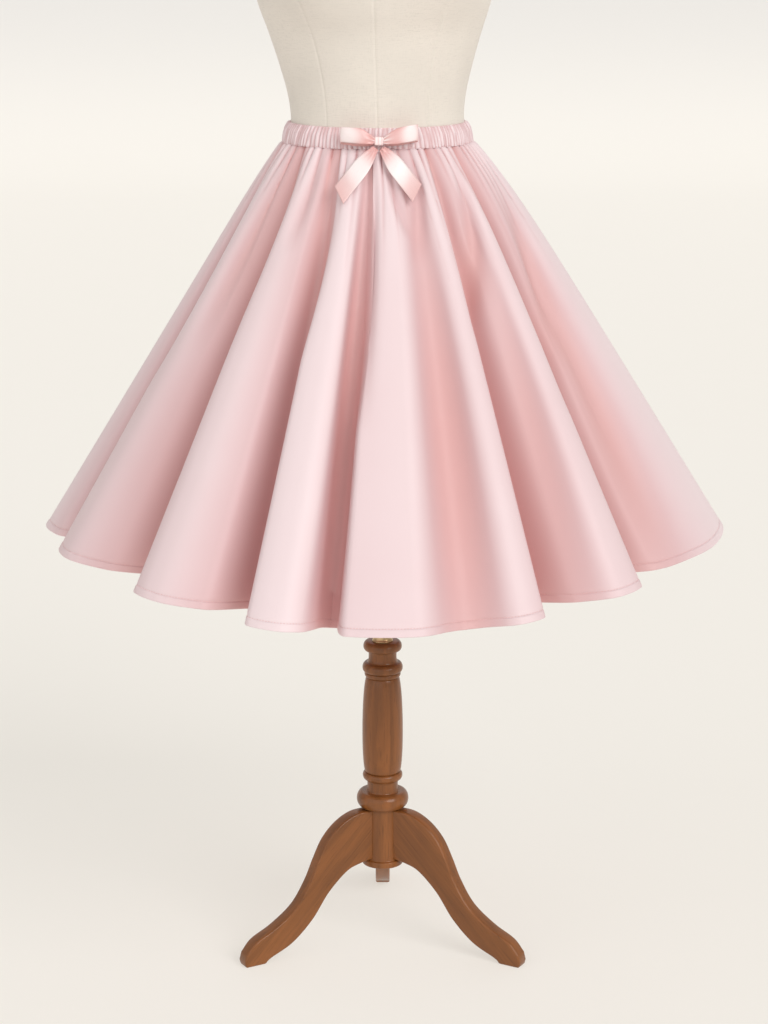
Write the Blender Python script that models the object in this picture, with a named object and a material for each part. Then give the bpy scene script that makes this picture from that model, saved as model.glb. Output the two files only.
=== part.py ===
"""A knee-length circle skirt with an elastic waistband and a ribbon bow, worn by a limbless dress form.

The form turns on a brass pole that slides in a turned wooden column on three curved legs.
Metres, +Z up. The origin is on the floor under the pole, and the front of the skirt faces -Y.
Azimuths are in degrees from the front, positive towards +X.
"""

import math

import bmesh
import bpy
from mathutils import Matrix, Vector

GAP = 0.0003  # between pieces that touch

# Skirt outline: an oval cone that springs out just under the band
SEAM_Z = 1.1660  # where the panels meet the band
SIDE_HEM_Z = 0.6250
FRONT_DIP = 0.0290  # how much lower the hem hangs at the front and back
DIP_POWER = 4
HEM_HANG = 0.12  # how much lower the hem hangs for each metre that a fold lies inside the outline
SEAM_WIDE = 0.1305  # half width and half depth at the seam
SEAM_DEEP = 0.1045
HEM_WIDE = 0.4780
HEM_DEEP = 0.4650
SPRING_OUT = 0.0125  # the quick flare of the gathers under the band
SPRING_DROP = 0.0450
WAIST_SHIFT = -0.0068  # the waist sits this far to one side of the pole
SHIFT_DROP = 0.0800
CLOTH = 0.0016

# One row for each crest or trough of the hem, in order round it. Inset is how far it lies inside the
# outline, and the two holds are how far its rounding reaches to either side.
FOLDS = (
    # azimuth deg, inset mm, hold before deg, hold after deg
    (-90.0, 2, 4.0, 3.0),
    (-83.0, 20, 2.6, 1.5),
    (-78.4, 84, 1.7, 1.7),
    (-73.5, 17, 2.0, 2.5),
    (-67.0, 9, 3.0, 3.0),
    (-57.5, 46, 4.0, 2.5),
    (-50.0, 132, 2.6, 2.2),
    (-43.0, 11, 2.4, 2.0),
    (-39.0, 5, 2.0, 3.0),
    (-30.5, 36, 4.0, 2.0),
    (-25.0, 116, 2.0, 1.6),
    (-20.4, 2, 1.8, 1.6),
    (-16.5, -3, 1.8, 2.0),
    (-12.4, 12, 1.8, 1.0),
    (-8.8, 78, 1.3, 1.2),
    (-5.6, 9, 1.4, 2.0),
    (4.5, 6, 4.0, 4.0),
    (14.0, 40, 4.2, 3.6),
    (21.8, 7, 3.0, 1.8),
    (25.6, 14, 1.6, 1.4),
    (30.0, 118, 1.9, 1.7),
    (35.0, 50, 2.2, 3.0),
    (42.0, 9, 3.0, 2.0),
    (46.4, 15, 2.0, 1.8),
    (51.5, 128, 2.2, 2.2),
    (57.5, 50, 2.6, 2.8),
    (64.0, 27, 3.0, 4.0),
    (76.0, 4, 5.0, 5.0),
    (90.0, -3, 5.0, 5.0),
    (103.0, 128, 4.0, 3.5),
    (117.0, 4, 6.0, 4.0),
    (127.5, 72, 4.0, 3.5),
    (138.0, 9, 4.5, 5.0),
    (150.0, 124, 4.0, 3.5),
    (163.5, 2, 6.5, 4.0),
    (173.5, 84, 3.5, 3.5),
    (183.0, 7, 4.5, 4.0),
    (194.0, 126, 3.5, 3.5),
    (208.5, 3, 6.5, 4.5),
    (219.0, 70, 4.0, 4.0),
    (229.5, 11, 4.5, 4.5),
    (240.5, 132, 3.8, 3.4),
    (254.5, 4, 6.0, 3.0),
    (262.0, 88, 2.8, 2.8),
    (270.0, 2, 3.5, 3.5),
)
SIDE_SEAM = 90.0  # azimuth of the second side seam; the first is at the first row
SWING = 3.0  # degrees by which the folds near one azimuth lean sideways at the band
SWING_AT = -8.0
SWING_SPREAD = 12.0
SWING_GROWTH = 1.2
FOLD_START = 0.03  # share of each fold's depth that it already has at the band
FOLD_GROWTH = 0.85
LONG_SPAN = 12.0  # degrees: wider spans of the hem take more columns
SHORT_COLUMNS = 4
LONG_COLUMNS = 6
ROWS = (0.0, 0.035, 0.09, 0.18, 0.31, 0.46, 0.63, 0.81, 1.0)  # shares of the drop from the seam to the hem

# Waistband: an elastic casing drawn up into fine gathers
BAND_TOP_Z = 1.1920
BAND_TOP_WIDE = 0.1245
BAND_TOP_DEEP = 0.0990
BAND_WALL = 0.0022
BAND_GATHERS = 44
GATHER_DEPTH = 0.0008
COLUMNS_PER_GATHER = 3

# Bow of flat satin ribbon, tied at the middle of the band
RIBBON = 0.0010
BOW_X = -0.0048
KNOT_Z = 1.1765
KNOT_SIZE = (0.0136, 0.0080, 0.0124)
KNOT_EDGE = 0.0026
BOW_CLEAR = 0.0022  # from the band to the back of the bow
LOOP_STATIONS = (
    # out from the knot mm, forward of the back layer mm, half width mm, rise of the middle mm
    (7.4, 4.8, 3.4, 0.4),
    (16.0, 9.4, 7.6, 4.0),
    (30.0, 11.6, 10.2, 8.4),
    (44.0, 9.6, 10.8, 9.6),
    (50.5, 5.6, 11.0, 8.0),
    (46.0, 2.0, 11.0, 6.0),
    (30.0, 0.8, 9.4, 3.4),
    (16.0, 0.7, 6.6, 0.8),
    (7.4, 0.6, 3.2, 0.0),
)
TAILS = (
    # name, start out mm, start drop mm, end out mm, end drop mm, half the slant of the cut mm
    ("bow_tail_left", 4.0, 9.0, -52.8, 67.0, 4.2),
    ("bow_tail_right", 4.0, 9.0, 50.5, 64.5, 4.0),
)
TAIL_WIDTH = 0.0225
TAIL_NECK = 0.36  # share of the ribbon's width at the knot
TAIL_STEPS = 8
TAIL_CLEAR = 0.0045  # from the skirt's outline
TAIL_TOP_DROP = 0.004  # above this drop a tail lies as far forward as here
TAIL_SPREAD = 2.2  # the ribbon has its whole width by 1 / TAIL_SPREAD of the tail

# Dress form: an oval section at each height above the waist line
WAIST_Z = 1.1930
FORM_LEAN = -0.028  # sideways per metre of height
FORM_SECTIONS = (
    # height mm, half width mm, depth in front mm, depth behind mm
    (-285, 150, 104, 116),
    (-200, 166, 110, 132),
    (-100, 149, 103, 116),
    (-30, 123, 96, 95),
    (0, 118, 93, 90),
    (35, 121, 95, 93),
    (76, 131, 100, 98),
    (119, 144, 108, 104),
    (161, 158, 122, 109),
    (200, 166, 130, 113),
    (245, 169, 119, 115),
    (295, 172, 101, 112),
    (335, 166, 85, 103),
    (365, 143, 72, 89),
    (388, 104, 62, 75),
    (408, 70, 56, 64),
    (430, 58, 52, 58),
    (465, 55, 50, 55),
)
FORM_STEP = 0.034  # height between the rings of the form
SHOULDER_HEIGHT = 0.335  # the rings lie closer above this
SHOULDER_STEP = FORM_STEP / 2.4
FORM_SIDES = 36
FLOOR_SCALE = 0.93  # the form's rounded floor against its lowest section
FLOOR_DROP = 0.008
CAP = ((0.0044, 0.88), (0.0072, 0.60))  # rise and scale of the rings that close the neck
BUST_Z = 0.200
BUST_AZIMUTH = 33.0
BUST_RISE = 0.016
BUST_SPREAD = (0.055, 19.0)  # metres up and degrees round

# Pole, ferrule and stand
POLE_RADIUS = 0.0110
POLE_IN_COLUMN = 0.1900
POLE_IN_FORM = 0.1100
COLLAR_RADIUS = 0.0240
COLLAR_HEIGHT = 0.0080
BORE_RADIUS = 0.0114
BORE_BOTTOM_Z = 0.1480
SOCKET_SPARE = 0.002  # room above the pole's end in the form
CUTTER_OVER = 0.010  # how far a cutter reaches past what it cuts
COLUMN_TOP_Z = 0.4520
FERRULE_HEIGHT = 0.0140
FERRULE_RADII = (0.0129, 0.0132, 0.0150)  # top, middle, foot
FERRULE_FLARE = 0.35  # share of its height where the foot starts to flare
FERRULE_EDGE = 0.0010
TURNINGS = (
    # top mm, bottom mm, radius at the top, middle and bottom mm
    (452.0, 438.0, 22.5, 27.7, 23.0),
    (438.0, 420.5, 22.0, 20.0, 22.5),
    (420.5, 406.5, 24.0, 29.0, 25.0),
    (406.5, 399.0, 24.0, 26.0, 23.2),
    (399.0, 255.0, 22.8, 29.3, 24.7),
    (255.0, 243.0, 25.2, 28.8, 24.0),
    (243.0, 225.5, 23.4, 22.2, 23.8),
    (225.5, 202.3, 30.0, 37.6, 30.0),
)
ARC_STEPS = 4
HUB_TOP_Z = 0.2020
HUB_BOTTOM_Z = 0.1134
HUB_RADIUS = 0.0262
HUB_LIP = 0.0300
LIP_HEIGHT = 0.0095
LIP_EDGE = 0.002
TURNED_SIDES = 28
BRASS_SIDES = 24
LEG_AZIMUTHS = {"leg_left": -60.0, "leg_right": 60.0, "leg_back": 180.0}
LEG_THICK = 0.0215
LEG_TOP = (
    # out from the pole mm, height mm, along the upper edge from the hub to the toe
    (20, 201),
    (50, 199.5),
    (76, 187),
    (97, 166),
    (112, 138),
    (126, 108),
    (148, 76),
    (181, 52),
    (213, 36),
    (229, 19),
)
LEG_UNDER = (
    # the same along the lower edge, from the sole back to the hub
    (199, 0),
    (190, 7),
    (155, 23),
    (122, 52),
    (95, 88),
    (66, 114),
    (45, 122),
    (20, 126),
)
TOE = ((232, 8), (230, 0))
LEG_EDGE = 0.0042
EDGE_ANGLE = 50.0  # degrees: edges sharper than this are rounded


def material(name, colour, roughness, metallic=0.0):
    made = bpy.data.materials.new(name)
    made.use_nodes = True
    shader = made.node_tree.nodes["Principled BSDF"]
    shader.inputs["Base Color"].default_value = (*colour, 1.0)
    shader.inputs["Roughness"].default_value = roughness
    shader.inputs["Metallic"].default_value = metallic
    return made


def link(name, mesh, finish, smooth=True, parent=None):
    piece = bpy.data.objects.new(name, mesh)
    bpy.context.scene.collection.objects.link(piece)
    mesh.materials.append(finish)
    if smooth:
        mesh.shade_smooth()
        mesh.set_sharp_from_angle(angle=math.radians(40))
    piece.parent = parent
    return piece


def empty(name, parent=None):
    made = bpy.data.objects.new(name, None)
    bpy.context.scene.collection.objects.link(made)
    made.parent = parent
    return made


def mesh_of(name, shape):
    mesh = bpy.data.meshes.new(name)
    shape.to_mesh(mesh)
    shape.free()
    return mesh


def grid(name, rows):
    """A mesh of quads through rows of points."""
    shape = bmesh.new()
    verts = [[shape.verts.new(point) for point in row] for row in rows]
    for upper, lower in zip(verts, verts[1:]):
        for i in range(len(upper) - 1):
            shape.faces.new((upper[i], lower[i], lower[i + 1], upper[i + 1]))
    return mesh_of(name, shape)


def wall_mesh(name, outer, inner, closed=False):
    """A cloth wall between two grids of points, with its edges closed; closed joins each row's ends."""
    shape = bmesh.new()
    near, far = ([[shape.verts.new(point) for point in row] for row in skin] for skin in (outer, inner))
    across = len(near[0])
    last = len(near) - 1
    for k in range(across if closed else across - 1):
        j = (k + 1) % across
        for i in range(last):
            shape.faces.new((near[i][k], near[i + 1][k], near[i + 1][j], near[i][j]))
            shape.faces.new((far[i][k], far[i][j], far[i + 1][j], far[i + 1][k]))
        shape.faces.new((near[0][k], near[0][j], far[0][j], far[0][k]))
        shape.faces.new((near[last][k], far[last][k], far[last][j], near[last][j]))
    if not closed:
        for i in range(last):
            shape.faces.new((near[i][0], far[i][0], far[i + 1][0], near[i + 1][0]))
            shape.faces.new((near[i][-1], near[i + 1][-1], far[i + 1][-1], far[i][-1]))
    return mesh_of(name, shape)


def give_wall(piece, thickness):
    wall = piece.modifiers.new("Wall", "SOLIDIFY")
    wall.thickness = thickness
    wall.offset = 0.0
    wall.use_even_offset = True
    wall.use_rim = True


def mix(a, b, share):
    return a + (b - a) * share


def smooth_path(points, steps):
    """A Catmull-Rom curve through the points, with this many steps between each two."""
    points = [Vector(point) for point in points]
    ends = [2 * points[0] - points[1], *points, 2 * points[-1] - points[-2]]
    path = []
    for a, b, c, d in zip(ends, ends[1:], ends[2:], ends[3:]):
        for step in range(steps):
            u = step / steps
            bend = 2 * b + (c - a) * u + (2 * a - 5 * b + 4 * c - d) * u**2 + (3 * b - a - 3 * c + d) * u**3
            path.append(bend / 2)
    return [*path, points[-1]]


# Skirt


def outline(drop):
    """Half width and half depth of the skirt's outline at this drop below the seam."""
    full = SEAM_Z - SIDE_HEM_Z
    spring = SPRING_OUT * (1 - math.exp(-drop / SPRING_DROP))
    wide = SEAM_WIDE + spring + (HEM_WIDE - SEAM_WIDE - SPRING_OUT) * drop / full
    long = full + FRONT_DIP
    deep = SEAM_DEEP + spring + (HEM_DEEP - SEAM_DEEP - SPRING_OUT) * drop / long
    return wide, deep


def skirt_point(azimuth, inset, share):
    """A point of the skirt: the outline's point at this azimuth, moved in by the fold."""
    swing = SWING * math.exp(-(((azimuth - SWING_AT) / SWING_SPREAD) ** 2))
    turn = math.radians(azimuth + swing * (1 - share) ** SWING_GROWTH)
    dip = FRONT_DIP * abs(math.cos(turn)) ** DIP_POWER + HEM_HANG * inset
    drop = share * (SEAM_Z - SIDE_HEM_Z + dip)
    wide, deep = outline(drop)
    depth = inset * (FOLD_START + (1 - FOLD_START) * share**FOLD_GROWTH)
    shift = WAIST_SHIFT * math.exp(-drop / SHIFT_DROP)
    x = (wide - depth) * math.sin(turn) + shift
    y = -(deep - depth) * math.cos(turn)
    return Vector((x, y, SEAM_Z - drop))


def hem_slopes():
    """Inset per degree at each row of FOLDS: none at a crest or a trough, a mean of both sides between."""
    slopes = [0.0]
    for (a, low, *_), (b, middle, *_), (c, high, *_) in zip(FOLDS, FOLDS[1:], FOLDS[2:]):
        before, after = (middle - low) / (b - a), (high - middle) / (c - b)
        slopes.append(2 * before * after / (before + after) if before * after > 0 else 0.0)
    return [*slopes, 0.0]


def hem_course():
    """(azimuth, inset) of each column once round, along smooth curves through the rows of FOLDS."""
    course = []
    slopes = hem_slopes()
    for i, ((a, inset_a, _, after), (b, inset_b, before, _)) in enumerate(zip(FOLDS, FOLDS[1:])):
        columns = LONG_COLUMNS if b - a > LONG_SPAN else SHORT_COLUMNS
        azimuths = (a, a + after, b - before, b)
        insets = (inset_a, inset_a + slopes[i] * after, inset_b - slopes[i + 1] * before, inset_b)
        for column in range(columns):
            u = column / columns
            weights = ((1 - u) ** 3, 3 * u * (1 - u) ** 2, 3 * u**2 * (1 - u), u**3)
            azimuth = sum(w * value for w, value in zip(weights, azimuths))
            course.append((azimuth, sum(w * value for w, value in zip(weights, insets)) / 1000))
    return course


def skirt_walls():
    """Rows of outer points and rows of inner points, once round the skirt."""
    course = hem_course()
    count = len(course)
    outer = [[skirt_point(azimuth, inset, share) for azimuth, inset in course] for share in ROWS]
    inner = []
    for i, row in enumerate(outer):
        above, below = outer[max(i - 1, 0)], outer[min(i + 1, len(outer) - 1)]
        normals = [
            (row[(k + 1) % count] - row[k - 1]).cross(above[k] - below[k]).normalized() for k in range(count)
        ]
        inner.append([point - normal * CLOTH for point, normal in zip(row, normals)])
    return [azimuth for azimuth, _ in course], outer, inner


def build_panel(name, columns, side, walls, finish, parent):
    """One half of the skirt: side is -1 in front and 1 behind, and its edges stop short of the seams."""
    skins = []
    for rows in walls[1:]:
        skin = [[row[k % len(row)].copy() for k in columns] for row in rows]
        for row in skin:
            for point in (row[0], row[-1]):
                point.y += side * GAP / 2
        skins.append(skin)
    link(name, wall_mesh(name, *skins), finish, parent=parent)


# Waistband


def oval(wide, deep, turn, z):
    return Vector((wide * math.sin(turn) + WAIST_SHIFT, -deep * math.cos(turn), z))


def build_band(finish, parent):
    columns = BAND_GATHERS * COLUMNS_PER_GATHER
    skins = []
    for inset in (0.0, BAND_WALL):
        rows = []
        for share in (0.0, 1.0):
            wide = mix(BAND_TOP_WIDE, SEAM_WIDE, share) - inset
            deep = mix(BAND_TOP_DEEP, SEAM_DEEP, share) - inset
            z = mix(BAND_TOP_Z, SEAM_Z + GAP, share)
            row = []
            for column in range(columns):
                turn = 2 * math.pi * column / columns
                ripple = GATHER_DEPTH * math.cos(turn * BAND_GATHERS)
                row.append(oval(wide + ripple, deep + ripple, turn, z))
            rows.append(row)
        skins.append(rows)
    link("waistband", wall_mesh("waistband", *skins, closed=True), finish, parent=parent)


# Bow


def band_front(x, z):
    """How far forward the band's face is at this x and z."""
    share = (BAND_TOP_Z - z) / (BAND_TOP_Z - SEAM_Z)
    wide = mix(BAND_TOP_WIDE, SEAM_WIDE, share) + GATHER_DEPTH
    deep = mix(BAND_TOP_DEEP, SEAM_DEEP, share) + GATHER_DEPTH
    return -deep * math.sqrt(1 - ((x - WAIST_SHIFT) / wide) ** 2)


def skirt_front(x, z):
    """How far forward the skirt's outline is at this x and z, without its folds."""
    drop = SEAM_Z - z
    wide, deep = outline(drop)
    shift = WAIST_SHIFT * math.exp(-drop / SHIFT_DROP)
    return -deep * math.sqrt(1 - ((x - shift) / wide) ** 2)


def build_knot(finish, parent):
    shape = bmesh.new()
    bmesh.ops.create_cube(shape, size=1.0)
    bmesh.ops.scale(shape, vec=KNOT_SIZE, verts=shape.verts)
    bmesh.ops.bevel(
        shape, geom=list(shape.edges), offset=KNOT_EDGE, segments=3, profile=0.6, affect="EDGES"
    )
    forward = band_front(BOW_X, SEAM_Z) - BOW_CLEAR - KNOT_SIZE[1] / 2
    bmesh.ops.translate(shape, vec=(BOW_X, forward, KNOT_Z), verts=shape.verts)
    link("bow_knot", mesh_of("bow_knot", shape), finish, parent=parent)


def build_loop(name, side, finish, parent):
    """A ribbon that runs out in front, turns at the end and comes back behind, nearest the band."""
    stations = smooth_path([row[:3] for row in LOOP_STATIONS], 2)
    rises = smooth_path([(row[3], 0, 0) for row in LOOP_STATIONS], 2)
    rows = []
    for (out, forward, half), (rise, _, _) in zip(stations, rises):
        x = BOW_X + side * out / 1000
        row = []
        for across in (-1.0, 0.0, 1.0):
            z = KNOT_Z + (rise + across * half) / 1000
            row.append(Vector((x, band_front(x, SEAM_Z) - BOW_CLEAR - forward / 1000, z)))
        rows.append(row)
    piece = link(name, grid(name, rows), finish, parent=parent)
    give_wall(piece, RIBBON)


def build_tail(name, start_out, start_drop, end_out, end_drop, slant, finish, parent):
    """A ribbon from under the knot down over the skirt, cut on a slant."""
    start = Vector((BOW_X + math.copysign(start_out, end_out) / 1000, 0, KNOT_Z - start_drop / 1000))
    end = Vector((BOW_X + end_out / 1000, 0, KNOT_Z - end_drop / 1000))
    along = (end - start).normalized()
    across = Vector((-along.z, 0, along.x)) * math.copysign(1, end_out)
    rows = []
    for step in range(TAIL_STEPS + 1):
        u = step / TAIL_STEPS
        half = TAIL_WIDTH / 2 * mix(TAIL_NECK, 1.0, math.sin(min(u * TAIL_SPREAD, 1) * math.pi / 2))
        row = []
        for side in (-1.0, 0.0, 1.0):
            point = start.lerp(end, u) + across * half * side
            point += along * (-slant / 1000 * side * u)
            face = skirt_front(point.x, min(point.z, SEAM_Z - TAIL_TOP_DROP))
            row.append(Vector((point.x, face - TAIL_CLEAR, point.z)))
        rows.append(row)
    piece = link(name, grid(name, rows), finish, parent=parent)
    give_wall(piece, RIBBON)


# Dress form


def form_section(height):
    """Half width, depth in front and depth behind, on smooth curves through FORM_SECTIONS, in metres."""
    rows = [[value / 1000 for value in row] for row in FORM_SECTIONS]
    last = len(rows) - 1
    low = max(i for i in range(last) if height >= rows[i][0] or i == 0)
    a, b = rows[low], rows[low + 1]
    before, after = rows[max(low - 1, 0)], rows[min(low + 2, last)]
    span = b[0] - a[0]
    u = (height - a[0]) / span
    sizes = []
    for i in (1, 2, 3):
        rise_a = (b[i] - before[i]) / (b[0] - before[0]) * span
        rise_b = (after[i] - a[i]) / (after[0] - a[0]) * span
        value = (2 * u**3 - 3 * u**2 + 1) * a[i] + (u**3 - 2 * u**2 + u) * rise_a
        sizes.append(value + (3 * u**2 - 2 * u**3) * b[i] + (u**3 - u**2) * rise_b)
    return sizes


def form_point(height, turn, scale=1.0):
    wide, front, back = form_section(height)
    deep = front if math.cos(turn) > 0 else back
    degrees = math.degrees(turn if turn <= math.pi else turn - 2 * math.pi)
    up, round_way = BUST_SPREAD
    swell = math.exp(-(((height - BUST_Z) / up) ** 2)) * BUST_RISE
    swell *= math.exp(-(((abs(degrees) - BUST_AZIMUTH) / round_way) ** 2))
    shift = WAIST_SHIFT + FORM_LEAN * height
    x = (wide + swell) * scale * math.sin(turn) + shift
    y = -(deep + swell) * scale * math.cos(turn)
    return Vector((x, y, WAIST_Z + height))


def build_form(finish, parent):
    bottom = FORM_SECTIONS[0][0] / 1000
    top = FORM_SECTIONS[-1][0] / 1000
    levels = [bottom + FORM_STEP * i for i in range(int((SHOULDER_HEIGHT - bottom) / FORM_STEP) + 1)]
    levels += [levels[-1] + SHOULDER_STEP * (i + 1) for i in range(int((top - levels[-1]) / SHOULDER_STEP))]
    shape = bmesh.new()
    turns = [2 * math.pi * side / FORM_SIDES for side in range(FORM_SIDES)]
    rings = [[form_point(bottom, turn, FLOOR_SCALE) - Vector((0, 0, FLOOR_DROP)) for turn in turns]]
    rings += [[form_point(level, turn) for turn in turns] for level in levels]
    for rise, scale in CAP:
        rings.append([form_point(levels[-1], turn, scale) + Vector((0, 0, rise)) for turn in turns])
    verts = [[shape.verts.new(point) for point in ring] for ring in rings]
    for lower, upper in zip(verts, verts[1:]):
        for i in range(FORM_SIDES):
            j = (i + 1) % FORM_SIDES
            shape.faces.new((lower[i], lower[j], upper[j], upper[i]))
    shape.faces.new(list(reversed(verts[0])))
    shape.faces.new(verts[-1])
    piece = link("dress_form", mesh_of("dress_form", shape), finish, parent=parent)
    floor = WAIST_Z + bottom - FLOOR_DROP
    socket_top = floor + POLE_IN_FORM + SOCKET_SPARE
    cutter = cylinder_cutter("socket_cutter", BORE_RADIUS, floor - CUTTER_OVER, socket_top, finish, parent)
    socket = piece.modifiers.new("Socket", "BOOLEAN")
    socket.operation = "DIFFERENCE"
    socket.object = cutter
    return floor


# Stand


def turned(name, profile, finish, parent, sides=TURNED_SIDES):
    """A piece turned about the pole's axis; the profile of (radius, height) is closed if it has a bore."""
    shape = bmesh.new()
    verts = [shape.verts.new((radius, 0, z)) for radius, z in profile]
    edges = [shape.edges.new(pair) for pair in zip(verts, verts[1:])]
    if profile[0][0] > 0:
        edges.append(shape.edges.new((verts[-1], verts[0])))
    bmesh.ops.spin(
        shape,
        geom=verts + edges,
        axis=(0, 0, 1),
        cent=(0, 0, 0),
        angle=2 * math.pi,
        steps=sides,
        use_merge=True,
    )
    bmesh.ops.remove_doubles(shape, verts=shape.verts, dist=1e-6)
    bmesh.ops.recalc_face_normals(shape, faces=shape.faces)
    return link(name, mesh_of(name, shape), finish, parent=parent)


def cylinder_cutter(name, radius, low, high, finish, parent):
    """An upright cylinder on the pole's axis that other pieces are hollowed with."""
    cutter = turned(name, [(0, high), (radius, high), (radius, low), (0, low)], finish, parent)
    cutter.hide_render = True
    cutter.display_type = "WIRE"
    return cutter


def turning_profile():
    """The column's outline from its top to its foot, one arc for each row of TURNINGS."""
    profile = []
    for top, bottom, r_top, r_middle, r_bottom in TURNINGS:
        for step in range(ARC_STEPS + 1):
            turn = math.pi * step / ARC_STEPS
            share = (1 - math.cos(turn)) / 2
            bulge = (r_middle - (r_top + r_bottom) / 2) * math.sin(turn)
            profile.append(((mix(r_top, r_bottom, share) + bulge) / 1000, mix(top, bottom, share) / 1000))
    return profile


def build_column(finish, parent):
    profile = turning_profile()
    foot = profile[-1][1]
    turned("column", [*profile, (BORE_RADIUS, foot), (BORE_RADIUS, COLUMN_TOP_Z)], finish, parent)


def build_hub(finish, parent):
    lip_top = HUB_BOTTOM_Z + LIP_HEIGHT
    profile = [
        (BORE_RADIUS, HUB_TOP_Z),
        (HUB_RADIUS, HUB_TOP_Z),
        (HUB_RADIUS, lip_top + LIP_EDGE),
        (HUB_RADIUS + LIP_EDGE, lip_top),
        (HUB_LIP, lip_top - LIP_EDGE),
        (HUB_LIP, HUB_BOTTOM_Z + LIP_EDGE),
        (HUB_LIP - LIP_EDGE, HUB_BOTTOM_Z),
        (0, HUB_BOTTOM_Z),
    ]
    shape = [(0, BORE_BOTTOM_Z), (BORE_RADIUS, BORE_BOTTOM_Z), *profile]
    turned("hub", shape, finish, parent)


def build_leg(name, azimuth, finish, parent):
    """A board sawn to an S curve, its inner end hollowed to fit the hub."""
    top = smooth_path([(*point, 0) for point in LEG_TOP], 2)
    under = smooth_path([(*point, 0) for point in LEG_UNDER], 2)
    outline_mm = [point[:2] for point in top] + list(TOE) + [point[:2] for point in under]
    shape = bmesh.new()
    verts = [shape.verts.new((LEG_THICK / 2, -out / 1000, z / 1000)) for out, z in outline_mm]
    face = shape.faces.new(verts)
    pulled = bmesh.ops.extrude_face_region(shape, geom=[face])
    moved = [item for item in pulled["geom"] if isinstance(item, bmesh.types.BMVert)]
    bmesh.ops.translate(shape, vec=(-LEG_THICK, 0, 0), verts=moved)
    bmesh.ops.recalc_face_normals(shape, faces=shape.faces)
    placed = Matrix.Rotation(math.radians(azimuth), 3, "Z")
    bmesh.ops.rotate(shape, cent=(0, 0, 0), verts=shape.verts, matrix=placed)
    leg = link(name, mesh_of(name, shape), finish, parent=parent)
    rounding = leg.modifiers.new("Edges", "BEVEL")
    rounding.width = LEG_EDGE
    rounding.segments = 2
    rounding.limit_method = "ANGLE"
    rounding.angle_limit = math.radians(EDGE_ANGLE)
    hollow = leg.modifiers.new("Hub seat", "BOOLEAN")
    hollow.operation = "DIFFERENCE"
    hollow.object = bpy.data.objects["hub_cutter"]


def build_ferrule(finish, parent):
    top, middle, foot = FERRULE_RADII
    low = COLUMN_TOP_Z + GAP
    high = low + FERRULE_HEIGHT
    profile = [
        (BORE_RADIUS, high),
        (top - FERRULE_EDGE, high),
        (top, high - FERRULE_EDGE),
        (middle, mix(low, high, FERRULE_FLARE)),
        (foot, low + FERRULE_EDGE),
        (foot, low),
        (BORE_RADIUS, low),
    ]
    turned("ferrule", profile, finish, parent, sides=BRASS_SIDES)


def build_pole(form_floor, finish, parent):
    collar_top = form_floor - GAP
    bottom = COLUMN_TOP_Z - POLE_IN_COLUMN
    profile = [
        (0, form_floor + POLE_IN_FORM),
        (POLE_RADIUS, form_floor + POLE_IN_FORM),
        (POLE_RADIUS, collar_top),
        (COLLAR_RADIUS, collar_top),
        (COLLAR_RADIUS, collar_top - COLLAR_HEIGHT),
        (POLE_RADIUS, collar_top - COLLAR_HEIGHT),
        (POLE_RADIUS, bottom),
        (0, bottom),
    ]
    turned("pole", profile, finish, parent, sides=BRASS_SIDES)


def main():
    for old in list(bpy.data.objects):
        bpy.data.objects.remove(old, do_unlink=True)
    pink = material("pink_satin", (0.83, 0.52, 0.55), 0.5)
    ribbon = material("pink_ribbon", (0.90, 0.62, 0.62), 0.3)
    linen = material("cream_linen", (0.78, 0.71, 0.61), 0.85)
    wood = material("walnut_stain", (0.20, 0.09, 0.04), 0.4)
    brass = material("brass", (0.62, 0.42, 0.20), 0.35, 1.0)

    stand = empty("stand")
    mast = empty("mast", stand)
    worn = empty("worn", mast)

    form_floor = build_form(linen, worn)
    walls = skirt_walls()
    seam = walls[0].index(SIDE_SEAM)
    build_panel("skirt_front", range(seam + 1), -1, walls, pink, worn)
    build_panel("skirt_back", range(seam, len(walls[0]) + 1), 1, walls, pink, worn)
    build_band(pink, worn)
    build_knot(ribbon, worn)
    build_loop("bow_loop_left", -1, ribbon, worn)
    build_loop("bow_loop_right", 1, ribbon, worn)
    for row in TAILS:
        build_tail(*row, ribbon, worn)

    build_pole(form_floor, brass, mast)
    build_ferrule(brass, stand)
    build_column(wood, stand)
    build_hub(wood, stand)
    cylinder_cutter(
        "hub_cutter", HUB_RADIUS + GAP, HUB_BOTTOM_Z - CUTTER_OVER, HUB_TOP_Z + CUTTER_OVER, wood, stand
    )
    for name, azimuth in LEG_AZIMUTHS.items():
        build_leg(name, azimuth, wood, stand)


main()
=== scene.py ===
"""The looks of a circle skirt with an elastic waistband and a ribbon bow, worn by a dress form.

Metres, +Z up. The origin is on the floor under the pole, and the front of the skirt faces -Y.
Azimuths are in degrees from the front, positive towards +X. Everything is built on the frame's own places.
"""

import math
import random

import bmesh
import bpy
import numpy as np
from mathutils import Matrix, Vector


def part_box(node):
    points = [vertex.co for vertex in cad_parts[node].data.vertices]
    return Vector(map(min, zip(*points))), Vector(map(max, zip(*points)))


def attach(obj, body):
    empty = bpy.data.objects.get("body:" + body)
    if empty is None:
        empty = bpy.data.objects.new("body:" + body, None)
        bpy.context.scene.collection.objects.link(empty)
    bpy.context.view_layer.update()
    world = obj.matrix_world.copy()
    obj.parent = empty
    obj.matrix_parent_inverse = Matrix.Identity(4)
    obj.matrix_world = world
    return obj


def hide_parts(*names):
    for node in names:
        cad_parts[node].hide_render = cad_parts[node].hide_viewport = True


bl_info = {
    "name": "Circle Skirt on a Dress Form",
    "version": (1, 0, 0),
    "blender": (4, 5, 0),
    "location": "3D View > Sidebar > Skirt",
    "description": "Builds a gathered circle skirt with a ribbon bow, its dress form and its stand",
    "category": "Add Mesh",
}

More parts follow.
